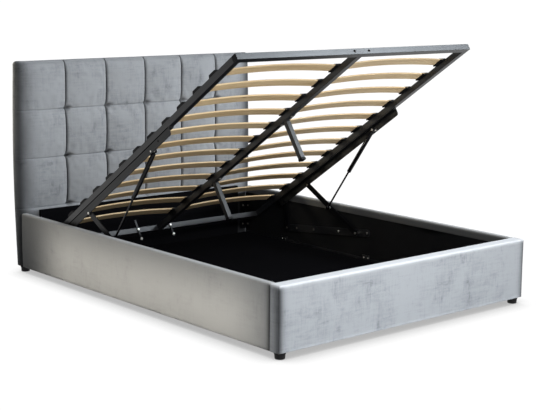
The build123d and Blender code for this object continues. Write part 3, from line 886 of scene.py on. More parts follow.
@dataclass(frozen=True)
class Velvet(Finish):
    """Short pile fabric that shows where it was stroked.

    Attributes:
        amount: How strongly the strokes show.
        size: Fineness of the strokes.
        sheen: Strength of the sheen.
        sheen_tint: Colour of the sheen.
        sheen_roughness: Softness of the sheen.
        stroked_roughness: Roughness where the pile is stroked.
    """

    amount: float = 0.9
    size: float = 1.0
    sheen: float = 0.25
    sheen_tint: Colour = (0.86, 0.92, 1.0)
    sheen_roughness: float = 0.3
    stroked_roughness: float = 0.95

    def paint(self, graph: Graph, shader: Node) -> Socket:
        """Stroked pile over the ground colour, with painted shade and a painted highlight where the piece's
        attribute asks, and a soft sheen.

        Args:
            graph: The material's graph.
            shader: Its Principled BSDF.

        Returns:
            The height for the bump.
        """
        first, second = self.pair()
        # Painted shade above 0 and painted highlight below 0, stored on the piece's points
        hollow = graph.add("Attribute", {"attribute_name": PAINTED_SHADING}).outputs["Fac"]
        values = {"Colour": first, "Stroked": second, "Amount": self.amount, "Size": self.size}
        marks = Effects.use(graph, "pile_marks", Hollow=hollow, **values)
        rough = graph.ramp(marks.outputs["Mask"], 0.0, 1.0, (self.roughness, self.stroked_roughness))
        graph.put(shader, "Base Color", marks.outputs["Colour"])
        graph.put(shader, "Roughness", rough)
        shader.inputs["Sheen Weight"].default_value = self.sheen
        shader.inputs["Sheen Roughness"].default_value = self.sheen_roughness
        shader.inputs["Sheen Tint"].default_value = (*self.sheen_tint, 1.0)
        shader.inputs["Specular IOR Level"].default_value = 0.15
        return marks.outputs["Height"]


@dataclass(frozen=True)
class Cloth(Finish):
    """Thin woven or felted cloth."""

    def paint(self, graph: Graph, shader: Node) -> Socket:
        """Fine crossed threads over a faintly uneven colour.

        Args:
            graph: The material's graph.
            shader: Its Principled BSDF.

        Returns:
            The height for the bump.
        """
        first, second = self.pair()
        thread, cross = (
            graph.add("TexWave", {"bands_direction": way}, Vector=graph.places(), Scale=THREADS)
            for way in ("Z", "DIAGONAL")
        )
        threads = graph.times(thread.outputs["Fac"], cross.outputs["Fac"])
        uneven = graph.noise(graph.places(), 6.0, 4.0, 0.6, 0.4)
        graph.put(shader, "Base Color", graph.blend(uneven, first, second))
        shader.inputs["Specular IOR Level"].default_value = 0.12
        return threads


@dataclass(frozen=True)
class Coat(Finish):
    """Painted, plated or moulded surface with uneven gloss.

    Attributes:
        metal: 1 on bare metal, 0 on paint and plastic.
        gloss: Least and greatest roughness.
        peel: Grains of the fine relief per metre.
        amount: How strongly the rubs show.
        specular: Strength of the plain reflection.
    """

    bump: float = 0.05
    bump_depth: float = 0.05 * MM
    metal: float = 0.0
    gloss: tuple[float, float] = (0.32, 0.48)
    peel: float = 900.0
    amount: float = 0.3
    specular: float = 0.5

    def paint(self, graph: Graph, shader: Node) -> Socket:
        """Rubbed colour and gloss.

        Args:
            graph: The material's graph.
            shader: Its Principled BSDF.

        Returns:
            The height for the bump.
        """
        first, second = self.pair()
        rub = Effects.use(
            graph,
            "rubbed",
            Colour=first,
            Rub=second,
            Amount=self.amount,
            Gloss_Low=self.gloss[0],
            Gloss_High=self.gloss[1],
            Peel=self.peel,
        )
        graph.put(shader, "Base Color", rub.outputs["Colour"])
        graph.put(shader, "Roughness", rub.outputs["Roughness"])
        shader.inputs["Metallic"].default_value = self.metal
        shader.inputs["Specular IOR Level"].default_value = self.specular
        return rub.outputs["Height"]


@dataclass(frozen=True)
class Wood(Finish):
    """Sawn or laminated wood with its grain along X.

    Attributes:
        knot: Colour of the knots.
        fibre: Fineness of the fibres.
    """

    knot: Colour = (0.16, 0.09, 0.04)
    fibre: float = 1.0

    def paint(self, graph: Graph, shader: Node) -> Socket:
        """Grain between a pale and a dark tone, with a dull surface.

        Args:
            graph: The material's graph.
            shader: Its Principled BSDF.

        Returns:
            The height for the bump.
        """
        first, second = self.pair()
        grain = Effects.use(graph, "grain", Pale=first, Dark=second, Knot=(*self.knot, 1.0), Fibre=self.fibre)
        graph.put(shader, "Base Color", grain.outputs["Colour"])
        shader.inputs["Specular IOR Level"].default_value = 0.2
        return grain.outputs["Height"]


VELVET = Velvet(
    "stroked_grey_velvet",
    colour=(0.36, 0.372, 0.388),
    second=(0.175, 0.187, 0.202),
    roughness=0.8,
    bump=0.35,
    bump_depth=0.5 * MM,
)
RAIL_VELVET = Velvet(
    "smooth_grey_velvet",
    colour=(0.37, 0.372, 0.368),
    second=(0.24, 0.243, 0.243),
    roughness=0.8,
    bump=0.3,
    bump_depth=0.5 * MM,
    amount=0.45,
)
BLACK_CLOTH = Cloth(
    "thin_black_cloth", colour=(0.006, 0.006, 0.0065), second=(0.012, 0.012, 0.013), roughness=0.9, bump=0.3
)
BLACK_PANEL = Coat(
    "black_faced_panel",
    colour=(0.006, 0.006, 0.007),
    second=(0.012, 0.012, 0.014),
    bump_depth=0.1 * MM,
    gloss=(0.6, 0.8),
    peel=500.0,
    specular=0.0,
)
POWDER_COAT = Coat(
    "black_powder_coat",
    colour=(0.011, 0.0115, 0.013),
    second=(0.03, 0.031, 0.034),
    bump=0.08,
    gloss=(0.32, 0.4),
    peel=1300.0,
    amount=0.2,
    specular=0.55,
)
BLACK_PLASTIC = Coat(
    "moulded_black_plastic",
    colour=(0.006, 0.006, 0.007),
    second=(0.015, 0.015, 0.015),
    bump=0.2,
    bump_depth=0.1 * MM,
    gloss=(0.5, 0.65),
    peel=1800.0,
    specular=0.2,
)
STRUT_BLACK = Coat(
    "black_strut_paint",
    colour=(0.004, 0.004, 0.005),
    second=(0.012, 0.012, 0.013),
    gloss=(0.24, 0.34),
    peel=1600.0,
    specular=0.2,
)
LIFT_BLACK = Coat(
    "lift_bar_paint",
    colour=(0.008, 0.0085, 0.009),
    second=(0.02, 0.02, 0.022),
    bump=0.12,
    bump_depth=0.1 * MM,
    gloss=(0.36, 0.5),
    peel=1300.0,
    amount=0.25,
    specular=0.36,
)
# Matt black of the strip that paints the shadow in the seam under each side tube
PAINTED_SEAM_SHADOW = Coat(
    "dark_gap",
    colour=(0.001, 0.001, 0.001),
    second=(0.002, 0.002, 0.002),
    gloss=(0.9, 1.0),
    amount=0.2,
    specular=0.0,
)
ZINC = Coat(
    "zinc_plate",
    colour=(0.62, 0.6, 0.56),
    second=(0.75, 0.7, 0.6),
    bump=0.1,
    metal=1.0,
    gloss=(0.2, 0.4),
    amount=0.5,
)
BLACK_ZINC = Coat(
    "black_zinc_plate",
    colour=(0.03, 0.028, 0.026),
    second=(0.2, 0.18, 0.15),
    bump=0.1,
    metal=1.0,
    gloss=(0.12, 0.2),
    amount=0.5,
)
ROD_STEEL = Coat(
    "dark_rod_steel",
    colour=(0.03, 0.03, 0.033),
    second=(0.06, 0.06, 0.06),
    bump_depth=0.02 * MM,
    metal=1.0,
    gloss=(0.14, 0.24),
)
BIRCH = Wood(
    "pale_birch", colour=(0.86, 0.66, 0.4), second=(0.66, 0.45, 0.23), bump=0.2, bump_depth=0.15 * MM
)
PINE = Wood(
    "sawn_pine",
    colour=(0.6, 0.42, 0.22),
    second=(0.36, 0.22, 0.1),
    roughness=0.75,
    bump=0.5,
    bump_depth=0.4 * MM,
    knot=(0.14, 0.07, 0.03),
    fibre=0.7,
)
CHIPBOARD = Wood(
    "raw_board",
    colour=(0.5, 0.37, 0.22),
    second=(0.26, 0.17, 0.09),
    roughness=0.85,
    bump=0.6,
    bump_depth=0.4 * MM,
    knot=(0.16, 0.1, 0.05),
    fibre=2.5,
)


# -------- upholstery


@dataclass
class SewnSheet:
    """Sheet of cloth held along its seams and pushed out by its filling.

    Attributes:
        xs: Left and right edge.
        zs: Lower and upper edge.
        seams_x: Places of the upright seams.
        seams_z: Places of the level seams.
        pitch: Grid size of the sheet.
        spare: How much larger the cloth is than its seams, as a share.
        pressure: Push of the filling.
        frames: Steps that the cloth gets to settle.
        unevenness: Size and height of the small waves that the flat cloth starts with.
        start_depth: How far the flat cloth starts in front of its seams.
        fullest: Share of the cloth that lies lower than what counts as fully out.
    """

    xs: tuple[float, float]
    zs: tuple[float, float]
    seams_x: Sequence[float]
    seams_z: Sequence[float]
    pitch: float = 0.0095
    spare: float = 0.022
    pressure: float = 4.0
    frames: int = 20
    unevenness: tuple[float, float] = (0.05, 0.0006)
    start_depth: float = 0.002
    fullest: float = 0.97

    def lines(self, ends: tuple[float, float], seams: Sequence[float]) -> tuple[np.ndarray, np.ndarray]:
        """Even grid lines between the seams.

        Args:
            ends: First and last line.
            seams: Seams between them.

        Returns:
            The lines, and for each whether it is held.
        """
        stops = sorted({ends[0], *[s for s in seams if ends[0] < s < ends[1]], ends[1]})
        places, held = [stops[0]], [True]
        for low, high in zip(stops[:-1], stops[1:]):
            count = max(1, round((high - low) / self.pitch))
            places += [low + (high - low) * n / count for n in range(1, count + 1)]
            held += [False] * (count - 1) + [True]
        return np.array(places), np.array(held)

    def filled(self, sheet: Piece) -> None:
        """Gives a flat sheet its cloth settings, with the push of the filling in place of its weight.

        Args:
            sheet: The flat sheet.
        """
        cloth = sheet.modifiers.new("filling", "CLOTH")
        cloth.settings.vertex_group_mass = "sewn"
        cloth.settings.mass = 0.12
        cloth.settings.air_damping = 4.0
        cloth.settings.tension_stiffness = cloth.settings.compression_stiffness = 25.0
        cloth.settings.shear_stiffness = 8.0
        cloth.settings.bending_stiffness = 0.4
        cloth.settings.shrink_min = -self.spare
        cloth.settings.use_pressure = True
        cloth.settings.uniform_pressure_force = self.pressure
        cloth.settings.effector_weights.gravity = 0.0
        cloth.settings.quality = 6
        cloth.collision_settings.use_collision = False

    def settle(self) -> tuple[np.ndarray, np.ndarray, np.ndarray]:
        """Lets the cloth swell and settle.

        Returns:
            Grid lines in X, grid lines in Z, and how far the cloth stands out at each, from 0 to 1.
        """
        x_lines, x_held = self.lines(self.xs, self.seams_x)
        z_lines, z_held = self.lines(self.zs, self.seams_z)
        count_x, count_z = len(x_lines), len(z_lines)
        grid_x, grid_z = (grid.ravel() for grid in np.meshgrid(x_lines, z_lines, indexing="ij"))
        size, height = self.unevenness
        waves = ripple(np.stack([grid_x, 0 * grid_x, grid_z], axis=1), size, 5) * height
        points = np.stack([grid_x, waves - self.start_depth, grid_z], axis=1)
        faces = [
            (i * count_z + j, (i + 1) * count_z + j, (i + 1) * count_z + j + 1, i * count_z + j + 1)
            for i in range(count_x - 1)
            for j in range(count_z - 1)
        ]
        sheet = quad_piece("sewn_sheet", points, faces)
        held = (x_held[:, None] | z_held[None, :]).ravel()
        group = sheet.vertex_groups.new(name="sewn")
        group.add([int(n) for n in np.nonzero(held)[0]], 1.0, "REPLACE")
        self.filled(sheet)
        scene = bpy.context.scene
        for step in range(1, self.frames + 1):
            scene.frame_set(step)
        settled = sheet.evaluated_get(bpy.context.evaluated_depsgraph_get())
        found = np.array([tuple(vert.co) for vert in settled.data.vertices])
        bpy.data.objects.remove(sheet)
        scene.frame_set(1)
        out = -(found[:, 1] - found[held, 1].mean()).reshape(count_x, count_z)
        full = float(np.quantile(out, self.fullest))
        LOG.info("sewn sheet stands out %.1f mm", full / MM)
        return x_lines, z_lines, np.clip(out / full, -0.1, 1.15)


@dataclass
class Headboard:
    """Padded board sewn into biscuit squares, three rows of six above a plain foot.

    Attributes:
        seam_heights: Level seams, from the top one down.
        seam_places: Upright seams, from left to right.
        seam_bow: How far an upright seam bows between two crossings.
        swell: How far a filled square stands out of its seams.
        upright_seam: Depth and half width of the groove of an upright seam.
        level_seam: Depth and half width of the groove of a level seam.
        pinch: Depth and reach of the hollow where seams cross.
        deepest: Depth that no seam or pinch goes beyond.
        crease: Length of the crease to the right and to the left of a crossing.
        crown: Height over which the top row leans back, and how far.
        shoulder: Width over which the two ends lean back, and how far.
        front_round: Rounding of the front edge.
        top_corner: Rounding of the two top corners.
        side_swell: How far the padding of the two ends swells sideways.
        parted: Reach of the painted shade at the two front corners, along the front and the ends.
        seam_sharpness: Power of the grooves' fall; higher is a groove with steeper walls.
        foot_fade: Height over which the upright seams end at the lowest level seam.
        crease_depth: Depth of the crease beside a crossing.
        crease_width: Half width of the crease at its tip, and what its root has more.
        crease_slope: Rise of the crease to the right of a crossing.
        fold: Depth, reach and number of the small folds round a crossing.
        lumps: Size and height of the filling's broad and small lumps.
        hidden_half: Half width of the part inside the storage box, below the rails' lining, which is painted
            fully in shade.
    """

    seam_places: tuple[float, ...] = (-0.489, -0.231, 0.027, 0.279, 0.527)
    seam_heights: tuple[float, ...] = (0.858, 0.602, 0.340)
    seam_bow: float = 0.002
    swell: float = 0.010
    upright_seam: tuple[float, float] = (0.018, 0.0040)
    level_seam: tuple[float, float] = (0.007, 0.0030)
    pinch: tuple[float, float] = (0.013, 0.024)
    deepest: float = 0.027
    crease: tuple[float, float] = (0.044, 0.018)
    crown: tuple[float, float] = (0.080, 0.034)
    shoulder: tuple[float, float] = (0.150, 0.034)
    front_round: float = 0.018
    top_corner: float = 0.024
    side_swell: float = 0.012
    parted: tuple[float, float] = (0.062, 0.034)
    seam_sharpness: float = 1.3
    foot_fade: float = 0.004
    crease_depth: float = 0.016
    crease_width: tuple[float, float] = (0.0028, 0.0100)
    crease_slope: float = 0.12
    fold: tuple[float, float, int] = (0.0016, 0.034, 5)
    lumps: tuple[tuple[float, float], tuple[float, float]] = ((0.11, 0.0012), (0.04, 0.0005))
    hidden_half: float = 0.76
    body: str = "base"
    seed: int = 11

    def pillow(self, x: np.ndarray, z: np.ndarray) -> np.ndarray:
        """Works out how far the filled squares stand out.

        Args:
            x: Places across the board.
            z: Places up the board.

        Returns:
            0 at a seam, and about 1 where a square is fullest.
        """
        low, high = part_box("headboard_cushion")
        spans = (low[0], high[0]), (self.seam_heights[-1], high[2])
        sheet = SewnSheet(*spans, self.seam_places, self.seam_heights)
        x_lines, z_lines, out = sheet.settle()
        i = np.clip(np.searchsorted(x_lines, x) - 1, 0, len(x_lines) - 2)
        j = np.clip(np.searchsorted(z_lines, z) - 1, 0, len(z_lines) - 2)
        s = np.clip((x - x_lines[i]) / (x_lines[i + 1] - x_lines[i]), 0, 1)
        t = np.clip((z - z_lines[j]) / (z_lines[j + 1] - z_lines[j]), 0, 1)
        low_row = out[i, j] * (1 - s) + out[i + 1, j] * s
        high_row = out[i, j + 1] * (1 - s) + out[i + 1, j + 1] * s
        return low_row * (1 - t) + high_row * t

    def nearest_seams(self, points: np.ndarray) -> tuple[np.ndarray, np.ndarray, np.ndarray, np.ndarray]:
        """Finds the seams next to each place; the upright ones bow a little between two crossings.

        Args:
            points: Places on the skin.

        Returns:
            How far each place lies beside its upright seam and above its level seam, and their numbers.
        """
        x, z = points[:, 0], points[:, 2]
        heights, seams = np.array(self.seam_heights), np.array(self.seam_places)
        levels = np.concatenate([[z.max()], heights])
        inside = np.zeros_like(z)
        for upper, lower in zip(levels[:-1], levels[1:]):
            row = (z <= upper) & (z > lower)
            inside = np.where(row, np.sin(np.pi * (z - lower) / (upper - lower)), inside)
        rows = np.arange(len(x))
        to_seam = x[:, None] - seams[None, :] - self.seam_bow * inside[:, None]
        column = np.argmin(np.abs(to_seam), axis=1)
        ends = np.array([x.min(), *self.seam_places, x.max()])
        bays = np.sin(np.pi * np.interp(x, ends, np.arange(len(ends))))
        to_row = z[:, None] - heights[None, :] + 0.5 * self.seam_bow * np.abs(bays)[:, None]
        level = np.argmin(np.abs(to_row), axis=1)
        return to_seam[rows, column], to_row[rows, level], column, level

    def creases(self, beside: np.ndarray, above: np.ndarray) -> np.ndarray:
        """Works out where the cloth is drawn into a crease beside a crossing.

        Args:
            beside: How far each place lies beside its upright seam.
            above: How far it lies above its level seam.

        Returns:
            1 in the crease, falling to 0 beside it and at its tips.
        """
        right = np.clip(1 - beside / self.crease[0], 0, 1) * (beside > 0)
        left = np.clip(1 + beside / self.crease[1], 0, 1) * (beside <= 0)
        slope = above - self.crease_slope * np.clip(beside, 0, None)
        width = self.crease_width[0] + self.crease_width[1] * (right + left)
        return np.exp(-((slope / width) ** 2)) * np.clip(1.5 * (right + left), 0, 1)

    def relief(self, points: np.ndarray, outward: np.ndarray) -> tuple[np.ndarray, np.ndarray]:
        """Shape of the front over its smooth skin.

        Args:
            points: Places on the skin.
            outward: Directions of the skin.

        Returns:
            Outward move of each point, in metres, and the painted shade of the place, from 0 to 1.
        """
        x, z = points[:, 0], points[:, 2]
        heights, seams = np.array(self.seam_heights), np.array(self.seam_places)
        beside, above, column, level = self.nearest_seams(points)
        over_foot = 1.0 / (1.0 + np.exp((heights[-1] - self.foot_fade - z) / self.foot_fade))
        crossings = np.stack([seams[column], 0 * x, heights[level]], axis=1)
        tightness = 1.0 + 0.5 * ripple(crossings, 0.11, self.seed + 7)

        # Grooves of the seams, and the pinch and creases where they cross
        upright = np.exp(-((np.abs(beside) / self.upright_seam[1]) ** self.seam_sharpness)) * over_foot
        flat = np.exp(-((np.abs(above) / self.level_seam[1]) ** self.seam_sharpness))
        across = np.exp(-np.abs(beside) / self.pinch[1])
        far = np.hypot(beside, above)
        crossing = np.exp(-((far / self.pinch[1]) ** 1.1)) * over_foot
        crossed = self.creases(beside, above) * over_foot * np.clip(tightness, 0.4, 1.2)
        fold_depth, fold_reach, fold_count = self.fold
        turn = fold_count * np.arctan2(above, beside) + 2.1 * column + 1.3 * level
        folds = np.cos(turn) * np.exp(-((far / fold_reach) ** 2)) * far / 0.03 * over_foot
        depth = self.upright_seam[0] * upright * (0.8 + 0.2 * tightness)
        depth = np.maximum(depth, self.level_seam[0] * flat * (0.55 + 0.9 * across))
        depth = np.maximum(depth, self.crease_depth * crossed)
        thin = np.clip((z - z.max() + self.crown[0]) / self.crown[0], 0, 1)
        deepest = self.deepest * (1 - 0.72 * thin)
        depth = np.minimum(depth + self.pinch[0] * crossing * (0.6 + 0.4 * tightness), deepest)

        # Lumps of the filling, and how far each place belongs to the front, the top and the ends
        lumps = sum(ripple(points, size, self.seed + n) * height for n, (size, height) in enumerate(self.lumps))
        front = np.clip(-outward[:, 1] * 1.6 - 0.3, 0, 1)
        over_top = np.clip(outward[:, 2] * 1.4, 0, 1) * np.clip(1.2 - outward[:, 1] * 1.5, 0, 1)
        side = np.abs(outward[:, 0]) * np.sin(np.pi * np.clip((z - z.min()) / (z.max() - z.min()), 0, 1))
        edge = np.minimum(x - x.min(), x.max() - x) / 0.05
        swell = self.swell * (1 - self.pillow(x, z)) * over_foot * np.clip(edge, 0.25, 1)
        move = -front * (np.minimum(depth + swell, deepest) + fold_depth * folds)
        move += lumps * (0.35 + 0.65 * front) - 0.0006
        move += -np.clip(over_top - front, 0, 1) * (0.2 * depth + 0.3 * swell) + side * self.side_swell

        # Painted shade in the upright seams, along the level seams and in the creases, which the finish darkens
        core = np.exp(-((np.abs(beside) / self.upright_seam[1]) ** 2.4)) * over_foot
        thread = np.exp(-((np.abs(above) / (0.8 * self.level_seam[1])) ** 2)) * (0.15 + 0.6 * across)
        hollow = np.maximum(np.maximum(core * 0.95, thread), crossed * 0.95)
        return move, hollow * np.maximum(front, np.clip(over_top, 0, 1))

    def build(self) -> Piece:
        """Returns:
            The new object.
        """
        low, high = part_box("headboard_cushion")
        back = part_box("headboard_back_cloth")[0][1] - 0.0002
        bowed = [seam + share * self.seam_bow for seam in self.seam_places for share in (0.0, 1.0)]
        shell = Shell(
            (low[0], low[1], low[2]),
            (high[0], back, high[2]),
            (self.top_corner, self.front_round, 0.006),
            (self.top_corner, 0.008, self.front_round),
            (0.008, 0.012, 0.008),
            (bowed, (), self.seam_heights),
        )
        points, outward, faces = shell.skin()
        move, hollow = self.relief(points, outward)
        # Painted shade at the two front corners, and full painted shade on the part inside the storage box
        hollow = np.maximum(hollow, corner_shade(points, low, high, self.parted))
        in_box_shade = (np.abs(points[:, 0]) < self.hidden_half) & (points[:, 2] < LINING_TOP)
        hollow = np.where(in_box_shade, 1.0, hollow)
        rise = np.clip((points[:, 2] - high[2] + self.crown[0]) / self.crown[0], 0, 1)
        end = np.clip((np.abs(points[:, 0]) - high[0] + self.shoulder[0]) / self.shoulder[0], 0, 1)
        lean = self.crown[1] * (1 - np.sqrt(1 - 0.98 * rise**2))
        lean = np.hypot(lean, self.shoulder[1] * (1 - np.sqrt(1 - 0.98 * end**2)))
        points = points + outward * move[:, None]
        points[:, 1] = back - (back - points[:, 1]) * (1 - lean / (back - low[1]))
        piece = quad_piece("headboard_padding", points, faces)
        marked(piece, PAINTED_SHADING, hollow)
        dress(piece, self.body, VELVET, ["headboard_cushion"])
        return piece


@dataclass
class SideRail:
    """Padded rail with its cover turned over the top and down the inside.

    Attributes:
        side: Side of the bed.
        outer_round: Rounding of the outer edges.
        inner_round: Rounding of the inner edges.
        end_round: Rounding at the two ends.
        foot_round: Rounding of the lowest edge.
        swell: How far the outer face swells.
        lumps: Size and height of the padding's lumps.
        pulls: Size and height of the pulls along the lowest edge.
        lining_step: How far the cover steps back for the lining.
        parted: Reach and strength of the painted shade at the foot end.
        head_shade: Reach and strength of the painted shadow at the head end.
        inner_shade: Strength of the painted shade on the inside, and how thick that side counts.
        crest: Height and strength of the painted highlight along the top edge.
    """

    side: Side
    outer_round: float = 0.011
    inner_round: float = 0.004
    end_round: float = 0.0055
    foot_round: float = 0.0025
    swell: float = 0.0018
    lumps: tuple[float, float] = (0.16, 0.0005)
    pulls: tuple[float, float] = (0.05, 0.0006)
    lining_step: float = 0.0034
    parted: tuple[float, float] = (0.014, 0.95)
    head_shade: tuple[float, float] = (0.22, 0.45)
    inner_shade: tuple[float, float] = (0.75, 0.006)
    crest: tuple[float, float] = (0.007, 0.22)
    body: str = "base"

    def offset(self, points: np.ndarray, outward: np.ndarray) -> np.ndarray:
        """Soft swell outside, a step for the lining inside, and slight pulls along the lowest edge.

        Args:
            points: Places on the skin.
            outward: Directions of the skin.

        Returns:
            Outward move of each point.
        """
        low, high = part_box(f"{self.side.label}_rail_cover")
        middle, half = (low[2] + high[2]) / 2, (high[2] - low[2]) / 2
        outside = np.clip(outward[:, 0] * self.side.value, 0, 1)
        inside = np.clip(-outward[:, 0] * self.side.value * 2 - 0.5, 0, 1)
        rise = 1 - ((points[:, 2] - middle) / half) ** 2
        lumps = ripple(points, self.lumps[0], 21 + self.side.value) * self.lumps[1]
        edge = np.exp(-(points[:, 2] - low[2]) / 0.02)
        along = points * np.array([0.0, 1.0, 0.0])
        pulls = ripple(along, self.pulls[0], 31 + self.side.value) * self.pulls[1] * edge
        step = inside * below_lining_top(points) * self.lining_step
        return outside * (self.swell * (rise - 1) + lumps + pulls) - step - SKIN_GAP

    def shade(self, places: np.ndarray) -> np.ndarray:
        """Painted shade at the ends and inside, and a painted highlight along the top edge.

        Args:
            places: Places on the piece.

        Returns:
            Painted shade of each place above 0 and painted highlight below 0, from -1 to 1.
        """
        low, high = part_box(f"{self.side.label}_rail_cover")
        to_foot, to_head = np.clip(places[:, 1] - low[1], 0, None), np.clip(high[1] - places[:, 1], 0, None)
        from_inside = high[0] - places[:, 0] if self.side is Side.LEFT else places[:, 0] - low[0]
        inner = self.inner_shade[0] * (from_inside < self.inner_shade[1])
        foot = self.parted[1] * np.exp(-to_foot / self.parted[0])
        head = self.head_shade[1] * np.exp(-((to_head / self.head_shade[0]) ** 2))
        crest = np.exp(-((np.clip(high[2] - places[:, 2], 0, None) / self.crest[0]) ** 2))
        return np.maximum(np.maximum(foot, head), inner) * (1 - crest) - self.crest[1] * crest

    def build(self) -> Piece:
        """Returns:
            The new object.
        """
        low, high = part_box(f"{self.side.label}_rail_cover")
        rounds = (self.outer_round, self.inner_round)
        low_x, high_x = rounds if self.side is Side.LEFT else reversed(rounds)
        shell = Shell(
            tuple(low),
            tuple(high),
            (low_x, self.end_round, self.foot_round),
            (high_x, self.end_round, self.outer_round),
            (0.012, 0.016, 0.016),
            ((), (), (LINING_TOP,)),
        )
        piece = shell.piece(f"{self.side.label}_rail_padding", self.offset)
        marked(piece, PAINTED_SHADING, self.shade(vertices(piece)))
        dress(piece, self.body, RAIL_VELVET, [f"{self.side.label}_rail_cover"])
        return piece


@dataclass
class FootPanel:
    """Padded panel across the foot end, with a sewn edge down each front corner.

    Attributes:
        front_round: Rounding of the front edges.
        back_round: Rounding of the back edges.
        foot_round: Rounding of the lowest edge.
        swell: How far the front swells.
        end_swell: How far the two ends swell behind their seams.
        lumps: Size and height of the padding's lumps.
        pulls: Size and height of the pulls along the lowest edge.
        corner_seam: How far behind the front the corner seams run.
        seam: Depth and half width of those seams.
        lining_step: How far the cover steps back for the lining.
        lining_gap: Width of each end that the lining leaves free.
        parted: Reach of the painted shade at the front corners, along the front and the ends.
        rail_joint: Width of the shade where the ends meet the rails, and how far in it goes.
        crest: Height and strength of the painted highlight along the top edge.
    """

    front_round: float = 0.009
    back_round: float = 0.0055
    foot_round: float = 0.003
    swell: float = 0.0022
    end_swell: float = 0.0012
    lumps: tuple[float, float] = (0.14, 0.0007)
    pulls: tuple[float, float] = (0.045, 0.0008)
    corner_seam: float = 0.011
    seam: tuple[float, float] = (0.0028, 0.0028)
    lining_step: float = 0.0034
    lining_gap: float = 0.033
    parted: tuple[float, float] = (0.023, 0.028)
    rail_joint: tuple[float, float] = (0.005, 0.03)
    crest: tuple[float, float] = (0.010, 0.85)
    body: str = "base"

    def offset(self, points: np.ndarray, outward: np.ndarray) -> np.ndarray:
        """Soft swell in front, corner seams at the ends, and a step for the lining behind.

        Args:
            points: Places on the skin.
            outward: Directions of the skin.

        Returns:
            Outward move of each point.
        """
        low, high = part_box("foot_panel_cover")
        middle, half = (low[2] + high[2]) / 2, (high[2] - low[2]) / 2
        seam = low[1] + self.corner_seam
        front = np.clip(-outward[:, 1], 0, 1)
        back = np.clip(outward[:, 1] * 2 - 0.5, 0, 1)
        end = np.clip(np.abs(outward[:, 0]), 0, 1)
        rise = (1 - ((points[:, 2] - middle) / half) ** 2) * (1 - (points[:, 0] / high[0]) ** 8)
        lumps = ripple(points, self.lumps[0], 41) * self.lumps[1]
        edge = np.exp(-(points[:, 2] - low[2]) / 0.018)
        pulls = ripple(points * np.array([1.0, 0.0, 0.0]), self.pulls[0], 43) * self.pulls[1] * edge
        seam_line = np.exp(-(((points[:, 1] - seam) / self.seam[1]) ** 2))
        behind = np.clip((points[:, 1] - seam) / (high[1] - seam), 0, 1)
        within = (np.abs(points[:, 0]) < high[0] - self.lining_gap).astype(float)
        return (
            front * (self.swell * (rise - 1) + lumps + pulls)
            - end * self.seam[0] * seam_line
            + end * (self.end_swell * np.sin(np.pi * behind) - 0.0004)
            - back * below_lining_top(points) * within * self.lining_step
            - SKIN_GAP
        )

    def shade(self, places: np.ndarray) -> np.ndarray:
        """Painted shade at the corners and at the rails, and a painted highlight along the top edge.

        Args:
            places: Places on the piece.

        Returns:
            Painted shade of each place above 0 and painted highlight below 0, from -1 to 1.
        """
        low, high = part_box("foot_panel_cover")
        joint = np.exp(-np.clip(high[1] - places[:, 1], 0, None) / self.rail_joint[0])
        joint *= np.abs(places[:, 0]) > high[0] - self.rail_joint[1]
        crest = np.exp(-((np.clip(high[2] - places[:, 2], 0, None) / self.crest[0]) ** 2))
        corners = corner_shade(places, low, high, self.parted)
        return np.maximum(corners, joint) * (1 - crest) - self.crest[1] * crest

    def build(self) -> Piece:
        """Returns:
            The new object.
        """
        low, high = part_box("foot_panel_cover")
        shell = Shell(
            tuple(low),
            tuple(high),
            (self.front_round, self.front_round, self.foot_round),
            (self.front_round, self.back_round, self.front_round),
            (0.014, 0.006, 0.014),
            ((), (low[1] + self.corner_seam,), (LINING_TOP,)),
        )
        piece = shell.piece("foot_panel_padding", self.offset)
        marked(piece, PAINTED_SHADING, self.shade(vertices(piece)))
        dress(piece, self.body, VELVET, ["foot_panel_cover"])
        return piece


@dataclass
class Lining:
    """Black cloth on the inner faces of the rails and of the foot panel.

    Attributes:
        inner_half: Half of the storage box's inner width.
        sheet: Space that the cloth at the foot panel takes.
        slack: How far the cloth hangs slack.
        pitch: Largest grid gap on the cloth and through it.
        edge: Rounding of its edges.
    """

    inner_half: float = 0.749
    sheet: float = 0.008
    slack: float = 0.0005
    pitch: tuple[float, float] = (0.03, 0.01)
    edge: Point = (0.0008, 0.0008, 0.0008)
    body: str = "base"

    def strip(self, name: str, low: Point, high: Point, seen: Axis, way: float, seed: int) -> Piece:
        """Makes one cloth.

        Args:
            name: Name of the piece.
            low: Lowest corner.
            high: Highest corner.
            seen: Axis that its seen face looks along.
            way: Sign of that direction.
            seed: Number that fixes its unevenness.

        Returns:
            The new object.
        """
        pitch = tuple(self.pitch[1] if axis is seen else self.pitch[0] for axis in Axis)

        def offset(points: np.ndarray, outward: np.ndarray) -> np.ndarray:
            """Slack on the face that looks into the box."""
            share = np.clip(outward[:, seen.value] * way, 0, 1)
            return share * (ripple(points, 0.12, seed) - 1) * self.slack

        return Shell(low, high, self.edge, self.edge, pitch).piece(name, offset)

    def build(self) -> Piece:
        """Makes the three cloths as one piece, a little slack between their tacks.

        Returns:
            The new object.
        """
        low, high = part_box("storage_lining")
        inner, foot = self.inner_half, low[1] + self.sheet
        strips = [
            self.strip("lining_left", (-high[0], foot, low[2]), (-inner, high[1], high[2]), Axis.X, 1.0, 51),
            self.strip("lining_right", (inner, foot, low[2]), (high[0], high[1], high[2]), Axis.X, -1.0, 52),
            self.strip("lining_foot", (-inner, low[1], low[2]), (inner, foot, high[2]), Axis.Y, 1.0, 53),
        ]
        piece = joined("storage_lining_cloth", strips)
        dress(piece, self.body, BLACK_CLOTH, ["storage_lining"])
        return piece


# -------- hard parts


